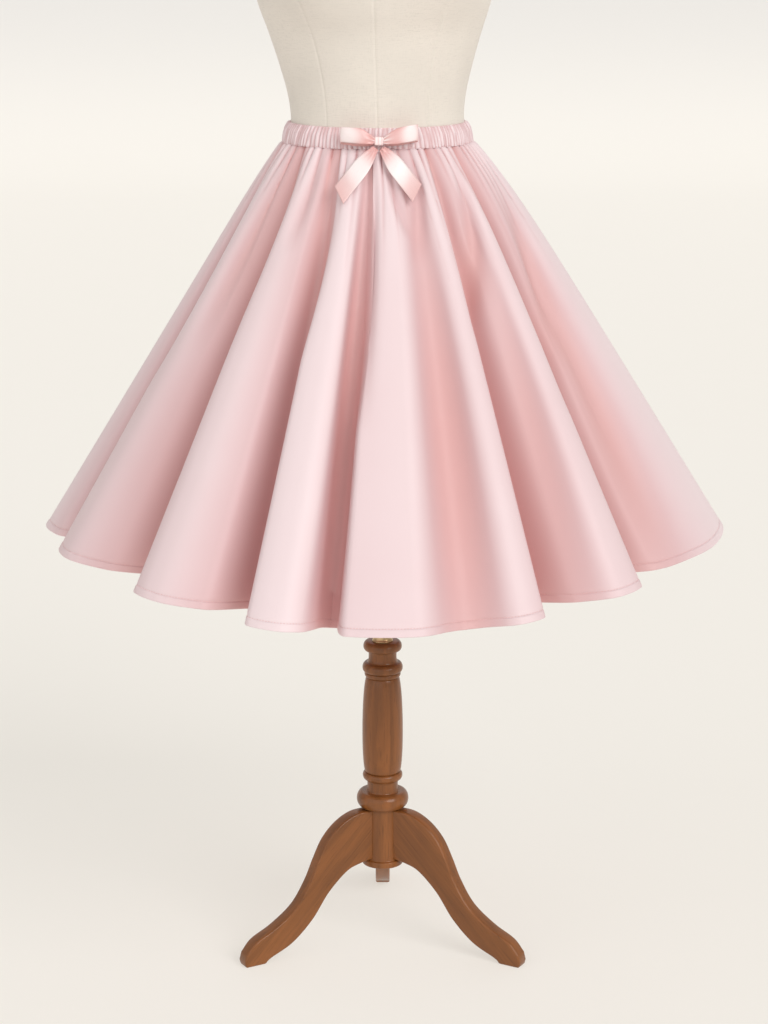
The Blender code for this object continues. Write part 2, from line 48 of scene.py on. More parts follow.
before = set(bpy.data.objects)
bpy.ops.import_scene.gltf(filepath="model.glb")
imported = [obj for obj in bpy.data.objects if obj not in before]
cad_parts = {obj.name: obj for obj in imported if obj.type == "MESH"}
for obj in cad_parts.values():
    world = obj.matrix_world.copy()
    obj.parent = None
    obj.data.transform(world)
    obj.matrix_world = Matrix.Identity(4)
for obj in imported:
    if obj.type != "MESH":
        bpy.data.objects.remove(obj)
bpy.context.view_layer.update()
MM = 0.001

# Places that come from the frame
BAND_BOTTOM_Z, BAND_TOP_Z = (corner.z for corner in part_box("waistband"))
SEAM_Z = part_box("skirt_front")[1].z
HUB_BOTTOM_Z, HUB_TOP_Z = (corner.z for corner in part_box("hub"))
FERRULE_BOTTOM_Z, FERRULE_TOP_Z = (corner.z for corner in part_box("ferrule"))
POLE_BOTTOM_Z, POLE_TOP_Z = (corner.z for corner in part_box("pole"))
FORM_BOTTOM_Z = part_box("dress_form")[0].z
KNOT_LOW, KNOT_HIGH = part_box("bow_knot")
KNOT = (KNOT_LOW + KNOT_HIGH) / 2

# Skirt outline: an oval cone that springs out just under the band
SIDE_HEM_Z = 0.6250
FRONT_DIP = 0.0290  # how much lower the hem hangs at the front and back
DIP_POWER = 4
HEM_HANG = 0.12  # how much lower the hem hangs for each metre that a fold lies inside the outline
SEAM_WIDE = 0.1305  # half width and half depth at the seam
SEAM_DEEP = 0.1045
HEM_WIDE = 0.4780
HEM_DEEP = 0.4650
SPRING_OUT = 0.0125  # the quick flare of the gathers under the band
SPRING_DROP = 0.0450
WAIST_SHIFT = -0.0068  # the waist sits this far to one side of the pole
SHIFT_DROP = 0.0800
FOLDS = (
    # azimuth deg, inset mm, hold before deg, hold after deg
    (-90.0, 2, 4.0, 3.0),
    (-83.0, 20, 2.6, 1.5),
    (-78.4, 84, 1.7, 1.7),
    (-73.5, 17, 2.0, 2.5),
    (-67.0, 9, 3.0, 3.0),
    (-57.5, 46, 4.0, 2.5),
    (-50.0, 132, 2.6, 2.2),
    (-43.0, 11, 2.4, 2.0),
    (-39.0, 5, 2.0, 3.0),
    (-30.5, 36, 4.0, 2.0),
    (-25.0, 116, 2.0, 1.6),
    (-20.4, 2, 1.8, 1.6),
    (-16.5, -3, 1.8, 2.0),
    (-12.4, 12, 1.8, 1.0),
    (-8.8, 78, 1.3, 1.2),
    (-5.6, 9, 1.4, 2.0),
    (4.5, 6, 4.0, 4.0),
    (14.0, 40, 4.2, 3.6),
    (21.8, 7, 3.0, 1.8),
    (25.6, 14, 1.6, 1.4),
    (30.0, 118, 1.9, 1.7),
    (35.0, 50, 2.2, 3.0),
    (42.0, 9, 3.0, 2.0),
    (46.4, 15, 2.0, 1.8),
    (51.5, 128, 2.2, 2.2),
    (57.5, 50, 2.6, 2.8),
    (64.0, 27, 3.0, 4.0),
    (76.0, 4, 5.0, 5.0),
    (90.0, -3, 5.0, 5.0),
    (103.0, 128, 4.0, 3.5),
    (117.0, 4, 6.0, 4.0),
    (127.5, 72, 4.0, 3.5),
    (138.0, 9, 4.5, 5.0),
    (150.0, 124, 4.0, 3.5),
    (163.5, 2, 6.5, 4.0),
    (173.5, 84, 3.5, 3.5),
    (183.0, 7, 4.5, 4.0),
    (194.0, 126, 3.5, 3.5),
    (208.5, 3, 6.5, 4.5),
    (219.0, 70, 4.0, 4.0),
    (229.5, 11, 4.5, 4.5),
    (240.5, 132, 3.8, 3.4),
    (254.5, 4, 6.0, 3.0),
    (262.0, 88, 2.8, 2.8),
    (270.0, 2, 3.5, 3.5),
)
SIDE_SEAM = 90.0
SWING = 3.0  # how far the folds near one azimuth lean to the side on their way up to the band, deg
SWING_AT = -8.0
SWING_SPREAD = 12.0
SWING_GROWTH = 1.2
FOLD_START = 0.03  # depth of a fold at the band, as a share of its depth at the hem
FOLD_GROWTH = 0.85
SPAN_STEPS = 60  # samples along the hem between two rows of FOLDS, before the columns are spaced out
PANEL_COLUMNS = 330
HEM_SHARE = 0.62  # how far the columns follow the hem's length rather than the azimuth
DROP_ROWS = (
    # drop share where a stretch of rows ends, rows in it
    (0.012, 5),
    (0.10, 22),
    (0.30, 24),
    (0.965, 46),
)
HALF_CIRCLE = (1.61, 0.805)  # one panel's cut: half a ring with a waist of radius 0.15 m
WAIST_RADIUS = 0.150
HEM_ROLL = 0.0009  # radius of the fold along the hem's edge
STITCH_GROOVE = (0.0006, 0.0011)  # depth, half width
HEM_STEP = (0.0004, 0.0020)  # how far the doubled hem stands out, and over what width
HEM_RIPPLE = 0.00035
WAIST_TUCK = (0.0014, 0.0016)  # how far the cloth dives under the band, and over what drop
SEAM_TUCK = (0.0014, 0.0045)  # the same at the side seams
BAND_CUT = (0.94, 0.028)  # the band's outer face, laid flat
FULL_PAINTED_SHADE = 0.105  # a fold this deep gets the darkest painted shade of the satin

# Soft creases on top of the folds
CREASES = (
    # azimuth at the band, at the hem deg; from, to share of the drop; half width deg, depth mm
    (-57.0, -64.0, 0.00, 0.50, 4.0, 8.0),
    (-44.0, -52.0, 0.02, 0.50, 3.0, 8.0),
    (-33.0, -42.0, 0.00, 0.24, 3.0, 6.0),
    (-20.0, -27.0, 0.00, 0.46, 2.6, 9.0),
    (-4.6, -7.5, 0.00, 0.60, 2.2, 10.0),
    (1.0, 52.0, 0.00, 0.20, 2.6, 7.0),
    (20.0, -8.0, 0.00, 0.26, 2.6, 7.0),
    (45.0, 5.0, 0.00, 0.42, 3.2, 10.0),
    (78.0, 32.0, 0.02, 0.62, 5.0, 8.0),
    (16.0, 14.5, 0.06, 1.25, 4.5, 14.0),
    (66.0, 60.0, 0.08, 1.10, 5.0, 15.0),
    (40.0, 35.5, 0.06, 1.10, 3.4, 9.0),
    (-10.0, -9.2, 0.02, 1.30, 1.6, 10.0),
    (-76.0, -74.0, 0.05, 0.60, 4.0, 5.0),
    (102.0, 104.0, 0.00, 0.50, 4.0, 9.0),
    (124.0, 128.0, 0.03, 0.60, 4.0, 6.0),
    (143.0, 151.0, 0.00, 0.45, 3.5, 9.0),
    (170.0, 174.0, 0.00, 0.50, 3.5, 8.0),
    (190.0, 194.0, 0.02, 0.50, 3.0, 9.0),
    (204.0, 200.0, 0.00, 0.30, 3.0, 6.0),
    (222.0, 219.0, 0.02, 0.60, 4.0, 6.0),
    (238.0, 241.0, 0.00, 0.45, 3.5, 9.0),
    (258.0, 262.0, 0.04, 0.50, 3.0, 7.0),
)

# Waistband and bow
FOOT_LAP = 0.0016  # how far the band's foot laps over the panels
BAND_TOP_WIDE = 0.1245  # half width and half depth at the top
BAND_TOP_DEEP = 0.0990
BAND_LEAN = 0.0014  # how far the band's top leans in
BAND_COLUMNS = 900
BOW_CLEAR = 0.0022  # from the band's face to the back of a loop
TAIL_CLEAR = 0.0025  # from the skirt's outline to the back of a tail
LOOPS = (
    # out from the knot, forward of the back layer, half width, rise of the middle, lean of the top
    # towards the front: all in mm, from the back of the knot out and round to its front
    (
        "bow_loop_left",
        -1,
        (
            (5.0, 1.2, 3.6, 0.0, 0.0),
            (14.0, 1.4, 7.4, 0.6, 0.2),
            (28.0, 1.8, 9.8, 2.6, 0.6),
            (42.0, 2.6, 10.8, 5.0, 1.2),
            (50.5, 5.6, 11.0, 6.6, 1.6),
            (49.5, 9.2, 10.2, 8.4, 1.2),
            (38.0, 11.8, 10.2, 8.2, 0.0),
            (24.0, 12.0, 10.0, 7.2, -1.6),
            (12.0, 8.8, 6.6, 3.2, -1.4),
            (5.5, 5.2, 3.6, 0.8, -0.6),
        ),
    ),
    (
        "bow_loop_right",
        1,
        (
            (5.0, 1.2, 3.6, 0.0, 0.0),
            (14.0, 1.4, 7.4, 0.8, 0.2),
            (28.0, 1.8, 10.0, 4.0, 0.6),
            (43.0, 2.8, 11.2, 7.8, 1.4),
            (51.5, 5.8, 11.4, 9.6, 2.0),
            (49.5, 9.6, 10.8, 10.8, 1.2),
            (38.0, 12.2, 10.8, 9.6, -0.4),
            (24.0, 12.0, 10.0, 7.0, -1.8),
            (12.0, 8.8, 6.6, 3.0, -1.4),
            (5.5, 5.2, 3.6, 0.6, -0.6),
        ),
    ),
)
TAILS = (
    # name, start out mm, start drop mm, end out mm, end drop mm, half the slant of the cut mm
    ("bow_tail_left", 4.0, 9.0, -52.8, 67.0, 4.2),
    ("bow_tail_right", 4.0, 9.0, 50.5, 64.5, 4.0),
)
TAIL_ARCH = (
    # share along the tail, how far it stands forward mm, turn about its length deg
    (0.0, 3.2, 0.0),
    (0.12, 5.6, 6.0),
    (0.34, 7.0, 14.0),
    (0.58, 4.2, 6.0),
    (0.80, 1.6, -6.0),
    (1.0, 2.8, -12.0),
)
TAIL_NECK = 0.36  # width at the knot, as a share of the ribbon's
TAIL_PAINTED_SHADE = (
    # places along the tail, and how dark the painted shade is at each; the lightest stretch is its painted
    # highlight
    (0.0, 0.14, 0.34, 0.48, 0.75, 1.0),
    (0.85, 0.62, 0.12, 0.02, 0.50, 0.70),
)
LOOP_PAINTED_SHADE = 0.72  # how dark the painted shade bands on the front of a loop are

# Dress form: an oval section at each height above the waist line
WAIST_Z = 1.1930
FORM_LEAN = -0.028
FORM_SECTIONS = (
    # height mm, half width mm, depth in front mm, depth behind mm
    (-285, 150, 104, 116),
    (-200, 166, 110, 132),
    (-100, 149, 103, 116),
    (-30, 123, 96, 95),
    (0, 118, 93, 90),
    (35, 121, 95, 93),
    (76, 131, 100, 98),
    (119, 144, 108, 104),
    (161, 158, 122, 109),
    (200, 166, 130, 113),
    (245, 169, 119, 115),
    (295, 172, 101, 112),
    (335, 166, 85, 103),
    (365, 143, 72, 89),
    (388, 104, 62, 75),
    (408, 70, 56, 64),
    (430, 58, 52, 58),
    (465, 55, 50, 55),
)
BUST_Z = 0.200
BUST_AZIMUTH = 33.0
BUST_RISE = 0.016
BUST_SPREAD = (0.055, 19.0)
FORM_SEAMS = (-145.0, -90.0, -35.0, 0.0, 35.0, 90.0, 145.0, 180.0)
FORM_ROWS = 110
FORM_ROUNDING = 0.008  # height of the rounding at the neck and at the foot

# Stand
GAP = 0.0003  # between the collar and the form
POLE_RADIUS = 0.0110
POLE_EDGE = 0.0010
COLLAR_RADIUS = 0.0240
COLLAR_HEIGHT = 0.0080
BORE_RADIUS = 0.0114
FERRULE_RADII = (0.0129, 0.0132, 0.0150)
TURNINGS = (
    # top mm, bottom mm, radius at the top, middle and bottom mm
    (452.0, 438.0, 22.5, 27.7, 23.0),
    (438.0, 420.5, 22.0, 20.0, 22.5),
    (420.5, 406.5, 24.0, 29.0, 25.0),
    (406.5, 399.0, 24.0, 26.0, 23.2),
    (399.0, 255.0, 22.8, 29.3, 24.7),
    (255.0, 243.0, 25.2, 28.8, 24.0),
    (243.0, 225.5, 23.4, 22.2, 23.8),
    (225.5, 202.3, 30.0, 37.6, 30.0),
)
HUB_BORE_Z = 0.1480
HUB_RADIUS = 0.0262
HUB_LIP = 0.0300
LIP_HEIGHT = 0.0095
LEG_AZIMUTHS = {"leg_left": -60.0, "leg_right": 60.0, "leg_back": 180.0}
LEG_THICK = 0.0215
LEG_EDGE = 0.0046
LEG_GRAIN = 46.0  # slope of the grain in a leg, deg
LEG_TOP = (
    # out from the pole mm, height mm, along the upper edge from the hub to the toe
    (20, 201),
    (50, 199.5),
    (76, 187),
    (97, 166),
    (112, 138),
    (126, 108),
    (148, 76),
    (181, 52),
    (213, 36),
    (229, 19),
)
LEG_UNDER = (
    # the same along the lower edge, from the sole back to the hub
    (199, 0),
    (190, 7),
    (155, 23),
    (122, 52),
    (95, 88),
    (66, 114),
    (45, 122),
    (20, 126),
)
TOE = ((232, 8), (230, 0))


# Light and camera
KEY_FROM = (2.6, -3.2, 3.6)
KEY_SIZE = 38.0  # how wide the light looks from the skirt, deg
FRONT_FROM = (-2.6, -3.6, 2.4)
FRONT_SIZE = 80.0
WARM_WHITE = (1.0, 0.985, 0.965)
SKY_WHITE = (1.0, 0.985, 0.96)
CAMERA_PLACE = (0.002, -3.6, 1.55)
CAMERA_TILT = 75.842  # deg up from looking straight down
CAMERA_LENS = 92.218
CAMERA_SENSOR = 36.0
FRONT_SHARE = 0.52  # strength of the front light as a share of the key's


# Sizes and colours that a user would change


def measure(name, description, default):
    return bpy.props.FloatProperty(name=name, description=description, default=default, unit="LENGTH")


def tint(name, description, default):
    return bpy.props.FloatVectorProperty(
        name=name, description=description, default=default, size=3, subtype="COLOR"
    )


class SkirtSettings(bpy.types.PropertyGroup):
    """The cloth of the skirt."""

    cloth: measure("Cloth", "Thickness of the satin", 0.0007)
    hem_turn: measure("Hem turn", "Width of the turned-up hem", 0.010)
    gather_pitch: measure("Gather pitch", "Mean distance between gathers at the band", 0.0115)
    gather_depth: measure("Gather depth", "How far the gathers puff out", 0.0056)
    # crest, middle and deep are lit and shaded copies of the satin: a painted highlight on the crests and
    # painted shade deep in the folds
    crest: tint("Crest", "Colour of the satin on a crest", (0.840, 0.705, 0.728))
    middle: tint("Middle", "Colour of the satin between", (0.690, 0.476, 0.490))
    deep: tint("Deep", "Colour of the satin deep in a fold", (0.695, 0.388, 0.376))


class BandSettings(bpy.types.PropertyGroup):
    """The elastic waistband."""

    crinkle_pitch: measure("Crinkle pitch", "Mean distance between crinkles", 0.0052)
    crinkle_depth: measure("Crinkle depth", "Height of the crinkles", 0.0025)
    wall: measure("Wall", "Thickness of the band with its elastic", 0.0062)


class BowSettings(bpy.types.PropertyGroup):
    """The ribbon of the bow."""

    width: measure("Width", "Width of the ribbon", 0.0225)
    thick: measure("Thickness", "Thickness of the ribbon", 0.0005)
    # light and shade are the ribbon's painted highlight and painted shade
    light: tint("Light", "Colour of the ribbon where it lies open", (0.95, 0.86, 0.86))
    shade: tint("Shade", "Colour of the ribbon where it is pinched", (0.74, 0.40, 0.385))


class StitchSettings(bpy.types.PropertyGroup):
    """The machine stitching."""

    pitch: measure("Pitch", "From one stitch to the next", 0.0040)
    length: measure("Length", "Length of one stitch", 0.0025)
    thread: measure("Thread", "Thickness of the thread", 0.0007)
    colour: tint("Colour", "Colour of the thread", (0.74, 0.46, 0.45))


class FormSettings(bpy.types.PropertyGroup):
    """The cover of the dress form."""

    seam_depth: measure("Seam depth", "Depth of the cover's seams", 0.0007)
    colour: tint("Colour", "Colour of the linen", (0.775, 0.722, 0.652))


class StandSettings(bpy.types.PropertyGroup):
    """The wood and brass of the stand."""

    sides: bpy.props.IntProperty(
        name="Sides", description="Faces round each turned piece", default=96, min=24, max=256
    )
    wood: tint("Wood", "Middle colour of the stained wood", (0.226, 0.079, 0.019))
    brass: tint("Brass", "Colour of the brass", (0.58, 0.41, 0.22))


class StageSettings(bpy.types.PropertyGroup):
    """The room and its light."""

    paper: tint("Paper", "Colour of the floor and backdrop", (0.38, 0.37, 0.36))
    floor_glow: tint("Floor glow", "Light that the floor gives off", (0.558, 0.534, 0.486))
    wall_glow: tint("Wall glow", "Light that the backdrop gives off", (0.405, 0.395, 0.375))
    key: bpy.props.FloatProperty(name="Key", description="Strength of the main light", default=1.66)
    fill: bpy.props.FloatProperty(name="Fill", description="Strength of the light all round", default=0.45)


# Node trees


class Value:
    """A number or vector socket; Python's operators add Math nodes to it."""

    def __init__(self, tree, socket):
        self.tree = tree
        self.socket = socket

    def __add__(self, other):
        return self.tree.maths("ADD", self, other)

    def __radd__(self, other):
        return self.tree.maths("ADD", other, self)

    def __sub__(self, other):
        return self.tree.maths("SUBTRACT", self, other)

    def __rsub__(self, other):
        return self.tree.maths("SUBTRACT", other, self)

    def __mul__(self, other):
        return self.tree.maths("MULTIPLY", self, other)

    def __rmul__(self, other):
        return self.tree.maths("MULTIPLY", other, self)


class Nodes:
    """Adds nodes to one tree."""

    def __init__(self, tree):
        self.tree = tree

    def node(self, kind, settings=None, sockets=None):
        made = self.tree.nodes.new(kind)
        for name, value in (settings or {}).items():
            setattr(made, name, value)
        for name, value in (sockets or {}).items():
            if isinstance(value, Value):
                self.tree.links.new(value.socket, made.inputs[name])
            else:
                made.inputs[name].default_value = value
        return made

    def value(self, node, output=0):
        return Value(self, node.outputs[output])

    def maths(self, operation, first, second):
        return self.value(self.node("ShaderNodeMath", {"operation": operation}, {0: first, 1: second}))


class Finish(Nodes):
    """A material made of nodes, ending in one Principled shader."""

    def __init__(self, name):
        self.material = bpy.data.materials.new(name)
        self.material.use_nodes = True
        super().__init__(self.material.node_tree)
        self.tree.nodes.clear()

    def object_place(self):
        return self.value(self.node("ShaderNodeTexCoord"), "Object")

    def uv_place(self, name):
        return self.value(self.node("ShaderNodeUVMap", {"uv_map": name}), "UV")

    def attribute(self, name, output="Vector"):
        return self.value(self.node("ShaderNodeAttribute", {"attribute_name": name}), output)

    def moved(self, place, scale=(1, 1, 1), turn=(0, 0, 0)):
        return self.value(
            self.node("ShaderNodeMapping", None, {"Vector": place, "Scale": scale, "Rotation": turn})
        )

    def noise(self, place, scale, detail=2.0, roughness=0.5, distortion=0.0):
        sockets = {
            "Vector": place,
            "Scale": scale,
            "Detail": detail,
            "Roughness": roughness,
            "Distortion": distortion,
        }
        return self.value(self.node("ShaderNodeTexNoise", None, sockets), "Fac")

    def wave(self, place, scale, distortion, detail_scale):
        settings = {"wave_type": "BANDS", "bands_direction": "X"}
        sockets = {"Vector": place, "Scale": scale, "Distortion": distortion, "Detail Scale": detail_scale}
        return self.value(self.node("ShaderNodeTexWave", settings, sockets), "Fac")

    def between(self, value, low, high, to_low=0.0, to_high=1.0):
        sockets = {"Value": value, 1: low, 2: high, 3: to_low, 4: to_high}
        return self.value(self.node("ShaderNodeMapRange", {"interpolation_type": "SMOOTHSTEP"}, sockets))

    def colours(self, first, second, share):
        """A colour mixed from two, which may be colours or sockets."""
        sockets = {0: share, 6: opaque(first), 7: opaque(second)}
        return self.value(self.node("ShaderNodeMix", {"data_type": "RGBA"}, sockets), 2)

    def bump(self, height, strength, distance):
        sockets = {"Height": height, "Strength": strength, "Distance": distance}
        return self.value(self.node("ShaderNodeBump", None, sockets))

    def principled(self, sockets):
        shader = self.node("ShaderNodeBsdfPrincipled", None, sockets)
        output = self.node("ShaderNodeOutputMaterial")
        self.tree.links.new(shader.outputs["BSDF"], output.inputs["Surface"])
        return self.material


def opaque(colour):
    return colour if isinstance(colour, Value) else (*tuple(colour)[:3], 1.0)


def scaled(colour, factor):
    return tuple(channel * factor for channel in tuple(colour)[:3])


# Finishes


def pink_satin(crest, middle, deep):
    """Matt satin with painted light: a painted highlight on the crests and painted shade in the folds, with
    a fine twill and faint unevenness.
    """
    finish = Finish("pink_satin")
    cut = finish.uv_place("cut")
    place = finish.object_place()
    hollow = finish.attribute("hollow", "Fac")
    cloudy = finish.noise(place, 5.0, 3.0)
    floats = finish.wave(finish.moved(cut, turn=(0, 0, math.radians(38))), 420.0, 1.5, 2.0)
    slubs = finish.noise(finish.moved(cut, (260, 2600, 1)), 1.0, 2.0)
    grain = floats * 0.5 + slubs * 0.5
    # how much painted shade, made a little uneven; it mixes the crest's painted highlight into the painted
    # shade of the folds
    depth = hollow + (cloudy - 0.5) * 0.12
    upper = finish.colours(crest, middle, finish.between(depth, 0.0, 0.55))
    shade = finish.colours(upper, deep, finish.between(depth, 0.35, 1.05))
    tinted = finish.colours(shade, scaled(middle, 0.90), grain * 0.16)
    return finish.principled(
        {
            "Base Color": tinted,
            "Roughness": finish.between(cloudy, 0.25, 0.75, 0.43, 0.51),
            "Specular IOR Level": 0.30,
            "Sheen Weight": 0.08,
            "Sheen Roughness": 0.38,
            "Sheen Tint": (1.0, 0.92, 0.90, 1.0),
            "Normal": finish.bump(grain, 0.10, 0.00012),
        }
    )


def satin_ribbon(light, shade):
    """Glossy satin ribbon with fine lengthwise threads; painted shade where it is pinched or turned under,
    and a painted highlight where it lies open.
    """
    finish = Finish("satin_ribbon")
    strip = finish.uv_place("strip")
    threads = finish.noise(finish.moved(strip, (90, 2600, 1)), 1.0, 2.0)
    cloudy = finish.noise(finish.object_place(), 60.0, 2.0)
    # painted shade, made a little uneven
    depth = finish.attribute("hollow", "Fac") + (cloudy - 0.5) * 0.10
    colour = finish.colours(light, shade, finish.between(depth, 0.0, 1.0))
    return finish.principled(
        {
            "Base Color": finish.colours(colour, shade, threads * 0.14),
            "Roughness": finish.between(threads, 0.2, 0.8, 0.26, 0.33),
            "Specular IOR Level": 0.60,
            "Sheen Weight": 0.10,
            "Sheen Roughness": 0.3,
            "Sheen Tint": (1.0, 0.95, 0.93, 1.0),
            "Normal": finish.bump(threads, 0.10, 0.0001),
        }
    )


def sewing_thread(colour):
    finish = Finish("sewing_thread")
    twist = finish.noise(finish.object_place(), 1500.0, 2.0)
    return finish.principled(
        {
            "Base Color": finish.colours(scaled(colour, 0.85), scaled(colour, 1.1), twist),
            "Roughness": finish.between(twist, 0.2, 0.8, 0.5, 0.65),
            "Normal": finish.bump(twist, 0.2, 0.0001),
        }
    )


def cream_linen(colour):
    """Plain-woven linen: crossed threads of uneven thickness, a little mottled."""
    finish = Finish("cream_linen")
    place = finish.object_place()
    round_way = finish.noise(finish.moved(place, (90, 90, 900)), 1.0, 3.0, 0.6)
    up_way = finish.noise(finish.moved(place, (900, 900, 60)), 1.0, 3.0, 0.6)
    weave = round_way * 0.55 + up_way * 0.45
    mottle = finish.noise(place, 9.0, 4.0)
    shade = finish.colours(scaled(colour, 0.955), scaled(colour, 1.03), finish.between(mottle, 0.3, 0.7))
    return finish.principled(
        {
            "Base Color": finish.colours(shade, scaled(colour, 0.88), finish.between(weave, 0.45, 0.75)),
            "Roughness": finish.between(mottle, 0.2, 0.8, 0.82, 0.92),
            "Specular IOR Level": 0.25,
            "Sheen Weight": 0.15,
            "Sheen Roughness": 0.5,
            "Normal": finish.bump(weave, 0.30, 0.0004),
        }
    )


def varnished_walnut(colour):
    """Stained and varnished hardwood: long streaks, fine dark pores and a soft gloss."""
    finish = Finish("varnished_walnut")
    grain = finish.attribute("grain")
    streaks = finish.noise(finish.moved(grain, (70, 70, 5)), 1.0, 4.0, 0.62, 0.6)
    broad = finish.noise(finish.moved(grain, (16, 16, 2.2)), 1.0, 3.0)
    pores = finish.noise(finish.moved(grain, (700, 700, 26)), 1.0, 2.0)
    dark_pores = finish.between(pores, 0.58, 0.72)
    tone = finish.between(streaks * 0.6 + broad * 0.4, 0.30, 0.72)
    wood = finish.colours(scaled(colour, 0.72), scaled(colour, 1.26), tone)
    return finish.principled(
        {
            "Base Color": finish.colours(wood, scaled(colour, 0.42), dark_pores * 0.55),
            "Roughness": finish.between(streaks, 0.2, 0.8, 0.36, 0.47),
            "Specular IOR Level": 0.25,
            "Coat Weight": 0.40,
            "Coat Roughness": 0.12,
            "Normal": finish.bump(pores * -0.6 + streaks * 0.4, 0.12, 0.0004),
        }
    )


def brushed_brass(colour):
    """Brushed brass, the brushing round the pole."""
    finish = Finish("brushed_brass")
    place = finish.object_place()
    brushed = finish.noise(finish.moved(place, (60, 60, 1800)), 1.0, 2.0)
    dull = finish.noise(place, 40.0, 3.0)
    return finish.principled(
        {
            "Base Color": finish.colours(scaled(colour, 0.80), scaled(colour, 1.08), dull),
            "Metallic": 1.0,
            "Roughness": finish.between(brushed, 0.2, 0.8, 0.24, 0.38),
            "Normal": finish.bump(brushed, 0.08, 0.0001),
        }
    )


def backdrop_paper(colour, floor_glow, wall_glow):
    """Evenly lit paper: it glows a little, so that shadows on it stay faint."""
    finish = Finish("backdrop_paper")
    place = finish.object_place()
    fibres = finish.noise(place, 3.0, 2.0)
    height = finish.value(finish.node("ShaderNodeSeparateXYZ", None, {"Vector": place}), "Z")
    return finish.principled(
        {
            "Base Color": finish.colours(scaled(colour, 0.99), colour, fibres),
            "Roughness": 0.95,
            "Specular IOR Level": 0.0,
            "Emission Color": finish.colours(floor_glow, wall_glow, finish.between(height, 0.0, 0.9)),
            "Emission Strength": 1.0,
        }
    )


def finish_for(maker, *colours):
    """The finish that the maker makes, made once."""
    found = bpy.data.materials.get(maker.__name__)
    return found or maker(*colours)


# Meshes


def mix(a, b, share):
    return a + (b - a) * share


def placed(name, data):
    """A new object for the data, in the scene."""
    made = bpy.data.objects.new(name, data)
    bpy.context.scene.collection.objects.link(made)
    return made


def mesh_of(name, shape):
    mesh = bpy.data.meshes.new(name)
    shape.to_mesh(mesh)
    shape.free()
    return mesh


def piece_of(node, mesh, finish, sharp=50.0):
    """An object for the mesh, named for its finish and the node that it stands for."""
    piece = placed(f"{finish.name.split('_')[-1]}_{node}", mesh)
    mesh.materials.append(finish)
    mesh.shade_smooth()
    mesh.set_sharp_from_angle(angle=math.radians(sharp))
    return piece


def hand_over(piece, body, nodes):
    """Hangs the piece on the body that carries it and hides the nodes that it stands for."""
    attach(piece, body)
    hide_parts(*nodes)


def grid_mesh(name, points, uvs=None, round_way=False, up_way=False, uv_name="cut"):
    """A mesh of quads on an array of points [row, column, xyz], facing out when columns go
    anticlockwise and rows go down; it may close on itself either way."""
    rows, columns = points.shape[:2]
    index = np.arange(rows * columns).reshape(rows, columns)
    if round_way:
        index = np.concatenate([index, index[:, :1]], axis=1)
    if up_way:
        index = np.concatenate([index, index[:1]], axis=0)
    corners = np.stack([index[:-1, :-1], index[1:, :-1], index[1:, 1:], index[:-1, 1:]], axis=-1)
    mesh = bpy.data.meshes.new(name)
    mesh.from_pydata(points.reshape(-1, 3).tolist(), [], corners.reshape(-1, 4).tolist())
    if uvs is not None:
        layer = mesh.uv_layers.new(name=uv_name)
        wanted = np.empty(len(mesh.loops), np.int32)
        mesh.loops.foreach_get("vertex_index", wanted)
        layer.uv.foreach_set("vector", uvs.reshape(-1, 2)[wanted].astype(np.float32).ravel())
    return mesh


def normals_of(points, round_way=False):
    """Outward unit normals of an array of points [row, column, xyz]."""
    if round_way:
        across = np.roll(points, -1, axis=1) - np.roll(points, 1, axis=1)
    else:
        across = np.gradient(points, axis=1)
    down = np.gradient(points, axis=0)
    normals = np.cross(down, across)
    return normals / np.linalg.norm(normals, axis=2, keepdims=True)


def smooth_path(points, steps):
    """A Catmull-Rom curve through the points, with this many steps between each two."""
    points = np.array(points, float)
    ends = np.vstack([2 * points[0] - points[1], points, 2 * points[-1] - points[-2]])
    path = []
    for a, b, c, d in zip(ends, ends[1:], ends[2:], ends[3:]):
        for u in np.arange(steps) / steps:
            bend = 2 * b + (c - a) * u + (2 * a - 5 * b + 4 * c - d) * u**2 + (3 * b - a - 3 * c + d) * u**3
            path.append(bend / 2)
    return np.array([*path, points[-1]])


def close_ends(mesh):
    """Caps the open ends of a tube and turns all its faces outwards."""
    shape = bmesh.new()
    shape.from_mesh(mesh)
    bmesh.ops.holes_fill(shape, edges=[edge for edge in shape.edges if edge.is_boundary])
    bmesh.ops.recalc_face_normals(shape, faces=shape.faces)
    shape.to_mesh(mesh)
    shape.free()


def store_hollow(mesh, hollow):
    """Stores the painted shade at each point, from 0 where the painted highlight lies to 1 where the
    painted shade is darkest.
    """
    layer = mesh.attributes.new("hollow", "FLOAT", "POINT")
    layer.data.foreach_set("value", hollow.astype(np.float32).ravel())


def add_wall(piece, thickness, offset):
    """Gives a sheet its thickness: offset -1 lays it all behind the sheet, 0 half on each side."""
    wall = piece.modifiers.new("Wall", "SOLIDIFY")
    wall.thickness = thickness
    wall.offset = offset


# Gathers: ridges side by side along a line, uneven in width, height, slant and length


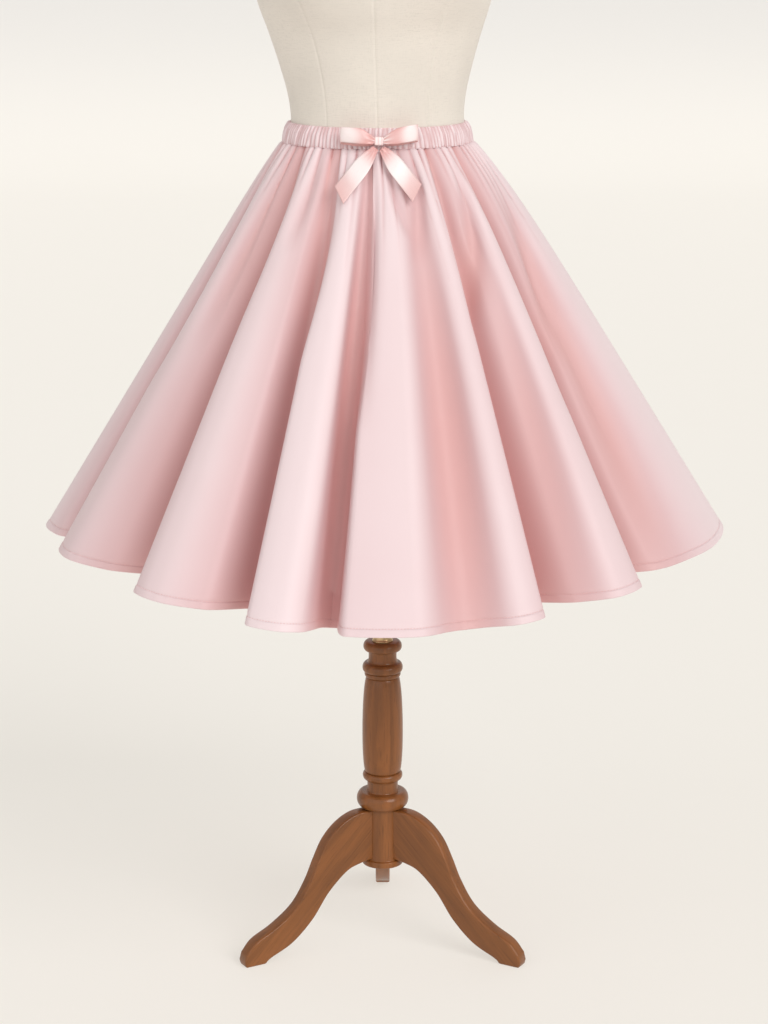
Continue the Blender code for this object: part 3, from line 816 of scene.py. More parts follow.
class Gathers:
    """Puffed ridges between narrow slits. Places run along a line from 0 to its length, in metres."""

    def __init__(self, length, pitch, seed, slant, wave_slant):
        chance = random.Random(seed)
        count = max(4, round(length / pitch))
        widths = np.array([chance.uniform(0.62, 1.38) for _ in range(count)])
        self.starts = np.concatenate([[0], np.cumsum(widths)[:-1]]) * length / widths.sum()
        self.length = length
        turns = self.starts / length * 2 * math.pi
        waves = sum(
            math.sin(chance.uniform(0, 6.3)) * np.sin(turns * k + chance.uniform(0, 6.3))
            for k in (2, 3, 5, 7)
        )
        self.slants = waves * wave_slant + np.array([chance.uniform(-slant, slant) for _ in range(count)])
        self.heights = np.array([chance.uniform(0.6, 1.2) for _ in range(count)])
        self.reaches = np.array([chance.uniform(0.0, 1.0) for _ in range(count)])

    def at(self, places, down):
        """(share across the ridge, its height, its reach) at each place, at this distance down."""
        starts = self.starts + self.slants * down
        order = np.argsort(starts)
        starts = starts[order]
        ends = np.append(starts[1:], starts[0] + self.length)
        wrapped = (places - starts[0]) % self.length + starts[0]
        found = np.clip(np.searchsorted(starts, wrapped, side="right") - 1, 0, len(starts) - 1)
        width = ends[found] - starts[found]
        share = (wrapped - starts[found]) / width
        narrow = np.minimum(1.0, width / (self.length / len(starts)))
        return share, self.heights[order][found] * narrow, self.reaches[order][found]


# Skirt


def outline(drop):
    """Half width and half depth of the skirt's outline at this drop below the seam."""
    full = SEAM_Z - SIDE_HEM_Z
    spring = SPRING_OUT * (1 - np.exp(-drop / SPRING_DROP))
    wide = SEAM_WIDE + spring + (HEM_WIDE - SEAM_WIDE - SPRING_OUT) * drop / full
    deep = SEAM_DEEP + spring + (HEM_DEEP - SEAM_DEEP - SPRING_OUT) * drop / (full + FRONT_DIP)
    return wide, deep


def skirt_points(azimuth, inset, share):
    """Points of the skirt: the outline's points at these azimuths, moved in by the folds."""
    swing = SWING * np.exp(-(((azimuth - SWING_AT) / SWING_SPREAD) ** 2))
    turn = np.radians(azimuth + swing * (1 - share) ** SWING_GROWTH)
    dip = FRONT_DIP * np.abs(np.cos(turn)) ** DIP_POWER + HEM_HANG * inset
    drop = share * (SEAM_Z - SIDE_HEM_Z + dip)
    wide, deep = outline(drop)
    depth = inset * (FOLD_START + (1 - FOLD_START) * share**FOLD_GROWTH)
    shift = WAIST_SHIFT * np.exp(-drop / SHIFT_DROP)
    x = (wide - depth) * np.sin(turn) + shift
    y = -(deep - depth) * np.cos(turn)
    return np.stack(np.broadcast_arrays(x, y, SEAM_Z - drop), axis=-1)


def hem_course():
    """Azimuths and insets along the hem, finely spaced, on smooth curves through the rows of FOLDS."""
    slopes = [0.0]
    for (a, low, *_), (b, middle, *_), (c, high, *_) in zip(FOLDS, FOLDS[1:], FOLDS[2:]):
        before, after = (middle - low) / (b - a), (high - middle) / (c - b)
        slopes.append(2 * before * after / (before + after) if before * after > 0 else 0.0)
    slopes.append(0.0)
    u = (np.arange(SPAN_STEPS) / SPAN_STEPS)[:, None]
    weights = np.hstack([(1 - u) ** 3, 3 * u * (1 - u) ** 2, 3 * u**2 * (1 - u), u**3])
    azimuths, insets = [], []
    for i, ((a, inset_a, _, after), (b, inset_b, before, _)) in enumerate(zip(FOLDS, FOLDS[1:])):
        azimuths.append(weights @ np.array([a, a + after, b - before, b]))
        rise, fall = slopes[i] * after, slopes[i + 1] * before
        insets.append(weights @ np.array([inset_a, inset_a + rise, inset_b - fall, inset_b]))
    azimuths.append([FOLDS[-1][0]])
    insets.append([FOLDS[-1][1]])
    return np.concatenate(azimuths), np.concatenate(insets) * MM


def panel_course(first, last, count):
    """The course between two azimuths, with columns spaced by the hem's length and by azimuth together."""
    azimuths, insets = hem_course()
    inside = (azimuths >= first - 1e-6) & (azimuths <= last + 1e-6)
    azimuths, insets = azimuths[inside], insets[inside]
    hem = skirt_points(azimuths, insets, 1.0)
    along = np.concatenate([[0], np.cumsum(np.linalg.norm(np.diff(hem, axis=0), axis=1))])
    cost = along / along[-1] * HEM_SHARE + (azimuths - first) / (last - first) * (1 - HEM_SHARE)
    wanted = np.linspace(0, 1, count)
    return np.interp(wanted, cost, azimuths), np.interp(wanted, cost, insets)


def drop_shares(hem_share, edge_share):
    """Shares of the drop for the panel's rows; hem_share is where the hem's stitching lies."""
    shares = [0.0]
    for end, rows in DROP_ROWS:
        shares += list(np.linspace(shares[-1], end, rows + 1)[1:])
    groove = (hem_share - edge_share) / 9
    shares += list(np.linspace(shares[-1], hem_share - 2 * groove, 5)[1:])
    shares += [hem_share - groove, hem_share - 0.5 * groove, hem_share, hem_share + 0.5 * groove]
    shares += list(np.linspace(hem_share + groove, edge_share, 6))
    return np.array(sorted(shares))


def band_length():
    """Round the seam of the skirt, in metres."""
    return math.pi * (SEAM_WIDE + SEAM_DEEP)


def gather_relief(azimuths, down, settings):
    """How far the gathers puff out, as a share of their depth, at these azimuths and drops."""
    length = band_length()
    places = azimuths / 360 * length
    gathers = Gathers(length, settings.gather_pitch, 11, 0.02, 0.03)
    relief = []
    for row_down in down:
        share, height, reach = gathers.at(places, row_down)
        puff = (1 - np.abs(2 * share - 1) ** 2.0) ** 0.8
        fade = 0.024 + 0.060 * reach**1.6
        rise = 0.55 + 0.45 * min(1.0, row_down / 0.006)
        relief.append(height * rise * (puff - 0.62) * np.exp(-((row_down / fade) ** 1.3)))
    return np.array(relief)


def crease_relief(azimuths, shares):
    """How far the soft creases push the cloth in."""
    relief = np.zeros((len(shares), len(azimuths)))
    for top, bottom, first, last, width, depth in CREASES:
        middle = mix(top, bottom, shares)[:, None]
        along = np.clip((shares - first) / (last - first), 0, 1)
        body = np.sin(math.pi * along) ** 1.2
        away = (azimuths[None, :] - middle) / width
        relief -= depth * MM * body[:, None] * np.exp(-(away**2))
    return relief


def hem_relief(azimuths, from_stitch):
    """The groove of the stitching, the doubled cloth below it and the ripple of the edge."""
    groove = STITCH_GROOVE[0] * np.exp(-((from_stitch / STITCH_GROOVE[1]) ** 2))
    step = HEM_STEP[0] * np.clip(from_stitch / HEM_STEP[1], 0, 1)
    ripple = np.sin(azimuths * 2.9 + 3 * np.sin(azimuths * 0.37)) * HEM_RIPPLE
    rippled = np.clip(from_stitch / 0.004 + 1, 0, 1)
    return (step - groove)[:, None] + rippled[:, None] * ripple[None, :]


def seam_relief(points, down):
    """How far the cloth dives in at the band and at the two side seams."""
    first = np.linalg.norm(points - points[:, :1], axis=2)
    last = np.linalg.norm(points - points[:, -1:], axis=2)
    near = np.clip(1 - np.minimum(first, last) / SEAM_TUCK[1], 0, 1)
    under_band = np.exp(-((down / WAIST_TUCK[1]) ** 2))
    return -WAIST_TUCK[0] * under_band[:, None] - SEAM_TUCK[0] * near**2


def fold_hollow(insets, shares, gathers, creases):
    """Painted shade at each point, darker the deeper it lies in the folds, creases and gathers together,
    from 0 to 1.
    """
    folds = np.clip(insets / FULL_PAINTED_SHADE, 0, 1)[None, :] ** 0.66 * (0.66 + 0.20 * shares[:, None])
    # the painted shade deepens in the creases and in the slits between the gathers
    hollow = folds + np.clip(-creases / 0.030, 0, 0.45) + np.clip(0.05 - gathers * 1.2, 0, 0.6)
    return np.clip(hollow, 0, 1)


def panel_points(first, last, settings):
    """The panel's points with all its relief, the flat places of its cut and the row of its stitching."""
    azimuths, insets = panel_course(first, last, PANEL_COLUMNS)
    full = SEAM_Z - SIDE_HEM_Z
    slant = math.hypot(full, HEM_WIDE - SEAM_WIDE)
    edge_share = 1 - HEM_ROLL / slant
    hem_share = edge_share - settings.hem_turn / slant
    shares = drop_shares(hem_share, edge_share)
    points = skirt_points(azimuths[None, :], insets[None, :], shares[:, None])
    down = shares * full
    gathers = gather_relief(azimuths, down, settings)
    creases = crease_relief(azimuths, shares)
    relief = gathers * settings.gather_depth + creases + seam_relief(points, down)
    relief += hem_relief(azimuths, (shares - hem_share) * slant)
    shaped = points + normals_of(points) * relief[:, :, None]
    radii = WAIST_RADIUS + shares * (HALF_CIRCLE[1] - WAIST_RADIUS)
    turns = np.radians((azimuths - (first + last) / 2) * 180 / (last - first))
    flat = np.stack([radii[:, None] * np.sin(turns), radii[:, None] * np.cos(turns)], axis=-1)
    stitch_row = int(np.argmin(np.abs(shares - hem_share)))
    return shaped, flat, fold_hollow(insets, shares, gathers, creases), stitch_row


def turned_hem(points, flat, stitch_row):
    """The panel with its lower edge folded round and laid up behind it to the stitching."""
    normals = normals_of(points)
    last = points[-1]
    downward = last - points[-2]
    downward /= np.linalg.norm(downward, axis=1, keepdims=True)
    outward = normals[-1]
    rows, places = [points], [flat]
    for turn in np.radians((36, 72, 108, 144, 180)):
        fold = downward * math.sin(turn) - outward * (1 - math.cos(turn))
        rows.append((last + fold * HEM_ROLL)[None])
        places.append(flat[-1:] * (1 + 0.001 * turn))
    behind = points[stitch_row - 1:-1][::-1] - normals[stitch_row - 1:-1][::-1] * 2 * HEM_ROLL
    rows.append(behind)
    widths = np.linalg.norm(flat[-1] - flat[stitch_row - 1:-1][::-1], axis=2, keepdims=True)
    places.append(flat[-1:] * (1.004 + widths))
    return np.concatenate(rows), np.concatenate(places)


def build_panel(name, first, last, settings, finish):
    points, flat, hollow, stitch_row = panel_points(first, last, settings)
    stitching = points[stitch_row] + normals_of(points)[stitch_row] * 0.0001
    points, flat = turned_hem(points, flat, stitch_row)
    mesh = grid_mesh(name, points, flat)
    # the turned hem takes the painted shade of the edge above it
    turned_rows = np.repeat(hollow[-1:], len(points) - len(hollow), axis=0)
    store_hollow(mesh, np.concatenate([hollow, turned_rows]))
    piece = piece_of(name, mesh, finish, 70.0)
    add_wall(piece, settings.cloth, -1.0)
    hand_over(piece, "worn", [name])
    return stitching


# Waistband


def band_surface(turns, settings):
    """The band's loop of rows, up its face, over the top and down its back, with all its crinkles."""
    length = band_length()
    foot = BAND_BOTTOM_Z - FOOT_LAP
    height = BAND_TOP_Z - foot
    wall = settings.wall
    profile = []
    for share in np.linspace(0, 1, 17):
        bulge = 0.0012 * math.sin(math.pi * min(1, share * 1.04)) ** 0.6
        lean = BAND_LEAN * max(0.0, share - 0.75) / 0.25
        profile.append((share * (height - wall / 2), bulge - lean, 1.0))
    for turn in np.radians((30, 60, 90, 120, 150)):
        rise = height - wall / 2 + wall / 2 * math.sin(turn)
        profile.append((rise, -BAND_LEAN - wall / 2 * (1 - math.cos(turn)), 0.9 - 0.6 * turn / math.pi))
    for share in np.linspace(1, 0, 7):
        profile.append((share * (height - wall / 2), -wall - BAND_LEAN * share, 0.25))
    profile.append((0.0, -wall * 0.66, 0.3))
    profile.append((0.0, -wall * 0.33, 0.6))
    places = turns / (2 * math.pi) * length
    crinkles = Gathers(length, settings.crinkle_pitch, 5, 0.030, 0.055)
    fine = Gathers(length, settings.crinkle_pitch * 0.47, 8, 0.06, 0.05)
    rows, painted_shades = [], []
    for rise, out, amount in profile:
        share = rise / height
        wide = mix(SEAM_WIDE, BAND_TOP_WIDE, share)
        deep = mix(SEAM_DEEP, BAND_TOP_DEEP, share)
        base = np.stack([wide * np.sin(turns), -deep * np.cos(turns)], axis=-1)
        outward = np.stack([deep * np.sin(turns), -wide * np.cos(turns)], axis=-1)
        outward /= np.linalg.norm(outward, axis=1, keepdims=True)
        across, tall, reach = crinkles.at(places, rise - height / 2)
        ridge = np.sin(math.pi * across) ** 0.85
        swell = 0.72 + 0.28 * np.sin(math.pi * (share * (0.8 + reach) + reach))
        small_across, small_tall, small_reach = fine.at(places, rise - height / 2)
        small = np.sin(math.pi * small_across) * small_tall
        small *= np.sin(math.pi * np.clip(share * 1.6 + small_reach - 0.8, 0, 1))
        relief = settings.crinkle_depth * (ridge * tall * swell - 0.55) + 0.0004 * small
        flat_out = base + outward * (out + relief * amount)[:, None]
        edge_wave = 0.0007 * (ridge * tall - 0.5) * max(0.0, share - 0.75) / 0.25
        z = foot + rise + edge_wave
        rows.append(np.column_stack([flat_out[:, 0] + WAIST_SHIFT, flat_out[:, 1], z]))
        # painted shade: darker in the hollows between the crinkles, lighter on their ridges
        painted_shades.append(np.clip(0.62 - 0.75 * ridge * tall * swell - 0.10 * small, 0, 1))
    return np.array(rows)[::-1], np.array(painted_shades)[::-1]


def build_band(settings, finish):
    turns = np.arange(BAND_COLUMNS) / BAND_COLUMNS * 2 * math.pi
    points, hollow = band_surface(turns, settings)
    along = np.cumsum(np.concatenate([[0], np.linalg.norm(np.diff(points[:, 0], axis=0), axis=1)]))
    uvs = np.stack(
        np.broadcast_arrays((turns / (2 * math.pi) * BAND_CUT[0])[None, :], along[:, None]), axis=-1
    )
    mesh = grid_mesh("waistband", points, uvs, round_way=True, up_way=True)
    store_hollow(mesh, hollow)
    piece = piece_of("waistband", mesh, finish, 80.0)
    hand_over(piece, "worn", ["waistband"])


# Bow


def band_front(x):
    """How far forward the foot of the band's face is at this x."""
    return -(SEAM_DEEP + 0.0008) * math.sqrt(1 - ((x - WAIST_SHIFT) / (SEAM_WIDE + 0.0008)) ** 2)


def skirt_front(x, z):
    """How far forward the skirt's outline is at this x and z, without its folds."""
    drop = SEAM_Z - z
    wide, deep = outline(drop)
    shift = WAIST_SHIFT * math.exp(-drop / SHIFT_DROP)
    return -deep * math.sqrt(1 - ((x - shift) / wide) ** 2)


def strip_mesh(name, points):
    """A ribbon on an array of points [along, across, xyz], with its UVs in metres."""
    along = np.cumsum(np.concatenate([[0], np.linalg.norm(np.diff(points[:, 0], axis=0), axis=1)]))
    across = np.cumsum(np.concatenate([[0], np.linalg.norm(np.diff(points[0], axis=0), axis=1)]))
    uvs = np.stack(np.broadcast_arrays(along[:, None], across[None, :]), axis=-1)
    return grid_mesh(name, points, uvs, uv_name="strip")


def build_loop(name, side, stations, settings, finish):
    """A ribbon that runs out behind, turns at the end and comes back in front."""
    path = smooth_path(stations, 10)
    sides = np.linspace(-1, 1, 15)
    rows, painted_shades = [], []
    for step, (out, forward, half, rise, lean) in enumerate(path):
        u = step / (len(path) - 1)
        pinch = math.exp(-(((out - 5.0) / 9.0) ** 2))
        row = []
        for across in sides:
            x = KNOT.x + side * out * MM
            cup = 1.1 * (1 - across**2) * (1 if u > 0.45 else -1) * min(1.0, abs(u - 0.45) * 6)
            pleats = 0.9 * pinch * math.cos(across * 7.5 + 0.6)
            push = forward + cup + pleats + lean * across
            z = KNOT.z + (rise + across * half) * MM
            row.append((x, band_front(x) - BOW_CLEAR - push * MM, z))
        rows.append(row)
        # painted shade: the loop's inside, its pleats at the knot, its edges and bands on its front are
        # darker; the open stretches keep the painted highlight
        inside = 0.85 * np.clip((0.50 - u) / 0.08, 0, 1)
        pleat_shade = pinch * (0.55 - 0.45 * np.cos(sides * 7.5 + 0.6))
        edge_shade = 0.30 * np.abs(sides) ** 3
        shaded = 0.5 - 0.5 * math.cos((u - 0.62) * 14.0 * (1 if side < 0 else 1.3))
        tone = inside + pleat_shade + edge_shade + LOOP_PAINTED_SHADE * (u > 0.5) * shaded
        painted_shades.append(np.clip(tone, 0, 1))
    points, hollow = np.array(rows), np.array(painted_shades)
    if side < 0:
        points, hollow = points[:, ::-1], hollow[:, ::-1]
    finish_ribbon(name, points, hollow, settings, finish)


def finish_ribbon(name, points, hollow, settings, finish):
    mesh = strip_mesh(name, points)
    store_hollow(mesh, hollow)
    piece = piece_of(name, mesh, finish, 80.0)
    add_wall(piece, settings.thick, 0.0)
    hand_over(piece, "worn", [name])


def build_tail(name, start_out, start_drop, end_out, end_drop, slant, settings, finish):
    """A ribbon from under the knot down over the skirt, arched and cut on a slant."""
    start = np.array((KNOT.x + math.copysign(start_out, end_out) * MM, KNOT.z - start_drop * MM))
    end = np.array((KNOT.x + end_out * MM, KNOT.z - end_drop * MM))
    along = (end - start) / np.linalg.norm(end - start)
    across = np.array((-along[1], along[0])) * math.copysign(1, end_out)
    arch = smooth_path(TAIL_ARCH, 8)
    steps = 44
    rows, painted_shades = [], []
    sides = np.linspace(-1, 1, 13)
    for u in np.linspace(0, 1, steps + 1):
        forward = np.interp(u, arch[:, 0], arch[:, 1])
        twist = math.radians(np.interp(u, arch[:, 0], arch[:, 2]))
        neck = mix(TAIL_NECK, 1.0, min(1.0, math.sin(min(u * 2.2, 1) * math.pi / 2)))
        half = settings.width / 2 * neck
        row = []
        for side in sides:
            x, z = mix(start, end, u) + across * half * side - along * slant * MM * side * u
            pleat = 1.0 * math.exp(-((u / 0.16) ** 2)) * math.cos(side * 6.0 + 0.8)
            push = forward + pleat + half / MM * side * math.sin(twist) * 0.5 + 0.5 * (1 - side**2)
            face = skirt_front(x, min(z, SEAM_Z - 0.004))
            row.append((x, face - TAIL_CLEAR - push * MM, z))
        rows.append(row)
        # painted shade along the tail and in its pleats at the neck; where it is lightest it is a painted
        # highlight
        pleats = math.exp(-((u / 0.16) ** 2)) * np.cos(sides * 6.0 + 0.8) ** 2
        painted_shades.append(np.clip(np.interp(u, *TAIL_PAINTED_SHADE) + 0.5 * pleats, 0, 1))
    points, hollow = np.array(rows), np.array(painted_shades)
    if end_out < 0:
        points, hollow = points[:, ::-1], hollow[:, ::-1]
    finish_ribbon(name, points, hollow, settings, finish)


def build_knot(finish):
    """The ribbon wrapped once round the middle: a rounded sleeve with a soft crease."""
    size = KNOT_HIGH - KNOT_LOW
    rings = 18
    sides = 40
    rows = []
    for ring in range(rings + 1):
        along = -math.cos(math.pi * ring / rings)
        end = math.sqrt(max(0.0, 1 - abs(along) ** 6))
        row = []
        for k in range(sides):
            turn = 2 * math.pi * k / sides
            round_y = math.copysign(abs(math.cos(turn)) ** 0.62, math.cos(turn))
            round_z = math.copysign(abs(math.sin(turn)) ** 0.62, math.sin(turn))
            waist = 1 - 0.10 * (1 - along**2) + 0.035 * math.cos(along * 9.0 + 0.8)
            row.append(
                (
                    KNOT.x + size.x / 2 * along,
                    KNOT.y - size.y / 2 * round_y * end * waist,
                    KNOT.z + size.z / 2 * round_z * end * waist,
                )
            )
        rows.append(row)
    points = np.array(rows)[1:-1]
    mesh = grid_mesh("bow_knot", np.transpose(points, (1, 0, 2))[::-1], up_way=True)
    close_ends(mesh)
    strip = mesh.uv_layers.new(name="strip")
    for loop, place in zip(mesh.loops, strip.uv):
        corner = mesh.vertices[loop.vertex_index].co
        place.vector = (corner.z - KNOT.z, corner.x - KNOT.x)
    along = np.array([(vertex.co.x - KNOT.x) / size.x * 2 for vertex in mesh.vertices])
    # painted shade in the knot's crease and towards its ends
    store_hollow(mesh, np.clip(0.15 + 0.35 * np.cos(along * 9.0 + 0.8) + 0.3 * along**4, 0, 1))
    piece = piece_of("bow_knot", mesh, finish, 60.0)
    hand_over(piece, "worn", ["bow_knot"])


# Stitching


def stitch_tree():
    """Stitches laid end to end along the edges of a mesh line."""
    tree = bpy.data.node_groups.new("Stitches along a line", "GeometryNodeTree")
    tree.interface.new_socket("Geometry", in_out="INPUT", socket_type="NodeSocketGeometry")
    for name, default in (("Pitch", 0.0032), ("Length", 0.0026), ("Thread", 0.0007)):
        socket = tree.interface.new_socket(name, in_out="INPUT", socket_type="NodeSocketFloat")
        socket.default_value = default
    tree.interface.new_socket("Material", in_out="INPUT", socket_type="NodeSocketMaterial")
    tree.interface.new_socket("Geometry", in_out="OUTPUT", socket_type="NodeSocketGeometry")
    nodes = Nodes(tree)
    given = nodes.node("NodeGroupInput")
    line = nodes.node("GeometryNodeMeshToCurve", None, {"Mesh": nodes.value(given, "Geometry")})
    spaced = nodes.node(
        "GeometryNodeResampleCurve",
        {"mode": "LENGTH"},
        {"Curve": nodes.value(line), "Length": nodes.value(given, "Pitch")},
    )
    tangent = nodes.node("GeometryNodeInputTangent")
    turn = nodes.node(
        "FunctionNodeAlignRotationToVector", {"axis": "Z"}, {"Vector": nodes.value(tangent)}
    )
    bead = nodes.node("GeometryNodeMeshIcoSphere", None, {"Radius": 0.5, "Subdivisions": 2})
    soft = nodes.node("GeometryNodeSetShadeSmooth", None, {0: nodes.value(bead)})
    size = nodes.node(
        "ShaderNodeCombineXYZ",
        None,
        {0: nodes.value(given, "Thread"), 1: nodes.value(given, "Thread"), 2: nodes.value(given, "Length")},
    )
    laid = nodes.node(
        "GeometryNodeInstanceOnPoints",
        None,
        {
            "Points": nodes.value(spaced),
            "Instance": nodes.value(soft),
            "Rotation": nodes.value(turn),
            "Scale": nodes.value(size),
        },
    )
    real = nodes.node("GeometryNodeRealizeInstances", None, {0: nodes.value(laid)})
    painted = nodes.node(
        "GeometryNodeSetMaterial",
        None,
        {"Geometry": nodes.value(real), "Material": nodes.value(given, "Material")},
    )
    nodes.node("NodeGroupOutput", None, {"Geometry": nodes.value(painted)})
    return tree


def build_stitching(name, lines, settings, finish):
    """One piece of plain stitches along lines of points; a closed line repeats its first point."""
    mesh = bpy.data.meshes.new(name)
    points, edges = [], []
    for line in lines:
        start = len(points)
        points += [tuple(point) for point in line]
        edges += [(i, i + 1) for i in range(start, len(points) - 1)]
    mesh.from_pydata(points, edges, [])
    guide = placed(name + "_guide", mesh)
    tree = bpy.data.node_groups.get("Stitches along a line") or stitch_tree()
    sewing = guide.modifiers.new("Stitches", "NODES")
    sewing.node_group = tree
    values = {
        "Pitch": settings.pitch,
        "Length": settings.length,
        "Thread": settings.thread,
        "Material": finish,
    }
    for socket in tree.interface.items_tree:
        if socket.item_type == "SOCKET" and socket.in_out == "INPUT" and socket.name in values:
            sewing[socket.identifier] = values[socket.name]
    bpy.context.view_layer.update()
    graph = bpy.context.evaluated_depsgraph_get()
    sewn = bpy.data.meshes.new_from_object(guide.evaluated_get(graph), depsgraph=graph)
    sewn.name = name
    bpy.data.objects.remove(guide, do_unlink=True)
    piece = placed(name, sewn)
    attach(piece, "worn")


# Dress form


def form_sizes(heights):
    """Half widths, depths in front and depths behind at these heights, on smooth curves, in metres."""
    rows = np.array(FORM_SECTIONS, float) * MM
    slopes = np.empty_like(rows)
    slopes[1:-1] = (rows[2:] - rows[:-2]) / (rows[2:, :1] - rows[:-2, :1])
    slopes[0] = (rows[1] - rows[0]) / (rows[1, 0] - rows[0, 0])
    slopes[-1] = (rows[-1] - rows[-2]) / (rows[-1, 0] - rows[-2, 0])
    low = np.clip(np.searchsorted(rows[:, 0], heights, side="right") - 1, 0, len(rows) - 2)
    span = (rows[low + 1, 0] - rows[low, 0])[:, None]
    u = (heights[:, None] - rows[low, :1]) / span
    sizes = (2 * u**3 - 3 * u**2 + 1) * rows[low] + (u**3 - 2 * u**2 + u) * slopes[low] * span
    sizes += (3 * u**2 - 2 * u**3) * rows[low + 1] + (u**3 - u**2) * slopes[low + 1] * span
    return sizes[:, 1:].T


def form_columns():
    """Places round the form as (gap between two seams, share across it), close together at each seam."""
    near = np.array((0.0, 0.010, 0.022, 0.045, 0.085))
    spread = np.linspace(0.085, 0.915, 13)[1:-1]
    shares = np.concatenate([near, spread, 1 - near[:0:-1]])
    return [(gap, share) for gap in range(len(FORM_SEAMS)) for share in shares]


def seam_azimuth(azimuth, heights):
    """A seam's azimuth at these heights: the two pairs of shaped seams bow a little."""
    if abs(azimuth) in (35.0, 145.0):
        bow = np.clip((heights - 0.075) / 0.085, -1.6, 1.6) ** 2
        return azimuth + math.copysign(1.3, azimuth) * (bow - 0.6)
    return np.full_like(heights, azimuth)


def form_points(settings):
    shares = np.linspace(0, 1, FORM_ROWS)
    low, high = FORM_SECTIONS[0][0] * MM, FORM_SECTIONS[-1][0] * MM
    heights = mix(low, high, shares)
    wide, front, back = (size[:, None] for size in form_sizes(heights))
    seams = [seam_azimuth(azimuth, heights) for azimuth in FORM_SEAMS]
    seams.append(seams[0] + 360)
    columns = form_columns()
    azimuths = np.array([mix(seams[gap], seams[gap + 1], share) for gap, share in columns]).T
    gaps = np.diff(FORM_SEAMS + (FORM_SEAMS[0] + 360,))
    across = np.array([min(share, 1 - share) * gaps[gap] for gap, share in columns])
    turns = np.radians(azimuths)
    deep = np.where(np.cos(turns) > 0, front, back)
    degrees = (azimuths + 180) % 360 - 180
    up, round_way = BUST_SPREAD
    swell = BUST_RISE * np.exp(-(((heights[:, None] - BUST_Z) / up) ** 2))
    swell = swell * np.exp(-(((np.abs(degrees) - BUST_AZIMUTH) / round_way) ** 2))
    shift = WAIST_SHIFT + FORM_LEAN * heights[:, None]
    x = (wide + swell) * np.sin(turns) + shift
    y = -(deep + swell) * np.cos(turns)
    z = np.broadcast_to(WAIST_Z + heights[:, None], x.shape)
    points = np.stack([x, y, z], axis=-1)[::-1]
    groove = settings.seam_depth * np.exp(-((across / 0.55) ** 2))
    return points - normals_of(points, round_way=True) * groove[None, :, None], shift[0, 0], shift[-1, 0]


def build_form(settings, finish):
    """The form from its flat floor to its neck, with rounded rims and a capped top."""
    points, floor_shift, top_shift = form_points(settings)
    centre_top = np.array((top_shift, 0, points[0, 0, 2]))
    centre_floor = np.array((floor_shift, 0, points[-1, 0, 2]))
    cap, floor = [], []
    for scale, rise in ((0.25, 1.0), (0.55, 0.93), (0.80, 0.72), (0.93, 0.42), (0.985, 0.16)):
        up = np.array((0, 0, FORM_ROUNDING * rise))
        cap.append(centre_top + (points[0] - centre_top) * scale + up)
    for scale, drop in ((0.985, 0.35), (0.95, 0.8), (0.90, 1.0), (0.6, 1.0), (0.25, 1.0)):
        down = np.array((0, 0, FORM_ROUNDING * drop))
        floor.append(centre_floor + (points[-1] - centre_floor) * scale - down)
    whole = np.concatenate([np.array(cap), points, np.array(floor)])
    mesh = grid_mesh("dress_form", whole, round_way=True)
    close_ends(mesh)
    piece = piece_of("dress_form", mesh, finish, 60.0)
    hand_over(piece, "worn", ["dress_form"])


# Stand


def turned(name, profile, finish, sides, body):
    """A piece turned about the pole's axis; the profile of (radius, height) is closed if it has a bore."""
    shape = bmesh.new()
    verts = [shape.verts.new((radius, 0, z)) for radius, z in profile]
    edges = [shape.edges.new(pair) for pair in zip(verts, verts[1:])]
    if profile[0][0] > 0:
        edges.append(shape.edges.new((verts[-1], verts[0])))
    bmesh.ops.spin(
        shape,
        geom=verts + edges,
        axis=(0, 0, 1),
        cent=(0, 0, 0),
        angle=2 * math.pi,
        steps=sides,
        use_merge=True,
    )
    bmesh.ops.remove_doubles(shape, verts=shape.verts, dist=1e-6)
    bmesh.ops.recalc_face_normals(shape, faces=shape.faces)
    mesh = mesh_of(name, shape)
    give_grain(mesh, Matrix.Identity(3))
    piece = piece_of(name, mesh, finish, 32.0)
    hand_over(piece, body, [name])


def give_grain(mesh, to_grain, offset=(0.0, 0.0, 0.0)):
    """Stores where each point lies in the wood: the third axis runs along the grain."""
    grain = mesh.attributes.new("grain", "FLOAT_VECTOR", "POINT")
    places = [tuple(to_grain @ vertex.co + Vector(offset)) for vertex in mesh.vertices]
    grain.data.foreach_set("vector", np.array(places, np.float32).ravel())


def turning_profile():
    """The column's outline from its top to its foot, one arc for each row of TURNINGS."""
    profile = []
    for top, bottom, r_top, r_middle, r_bottom in TURNINGS:
        steps = 36 if top - bottom > 60 else 14
        for step in range(steps + 1):
            turn = math.pi * step / steps
            share = (1 - math.cos(turn)) / 2
            bulge = (r_middle - (r_top + r_bottom) / 2) * math.sin(turn)
            profile.append(((mix(r_top, r_bottom, share) + bulge) * MM, mix(top, bottom, share) * MM))
    return profile


def build_column(finish, sides):
    profile = turning_profile()
    foot, head = profile[-1][1], profile[0][1]
    profile += [(BORE_RADIUS, foot), (BORE_RADIUS, head)]
    turned("column", profile, finish, sides, "stand")


def rounded(corner, before, after, radius, steps=4):
    """Points that round a corner of a profile, coming from before and going on to after."""
    corner = Vector(corner)
    start = corner + (Vector(before) - corner).normalized() * radius
    end = corner + (Vector(after) - corner).normalized() * radius
    shares = [step / steps for step in range(steps + 1)]
    return [tuple((1 - u) ** 2 * start + 2 * u * (1 - u) * corner + u**2 * end) for u in shares]


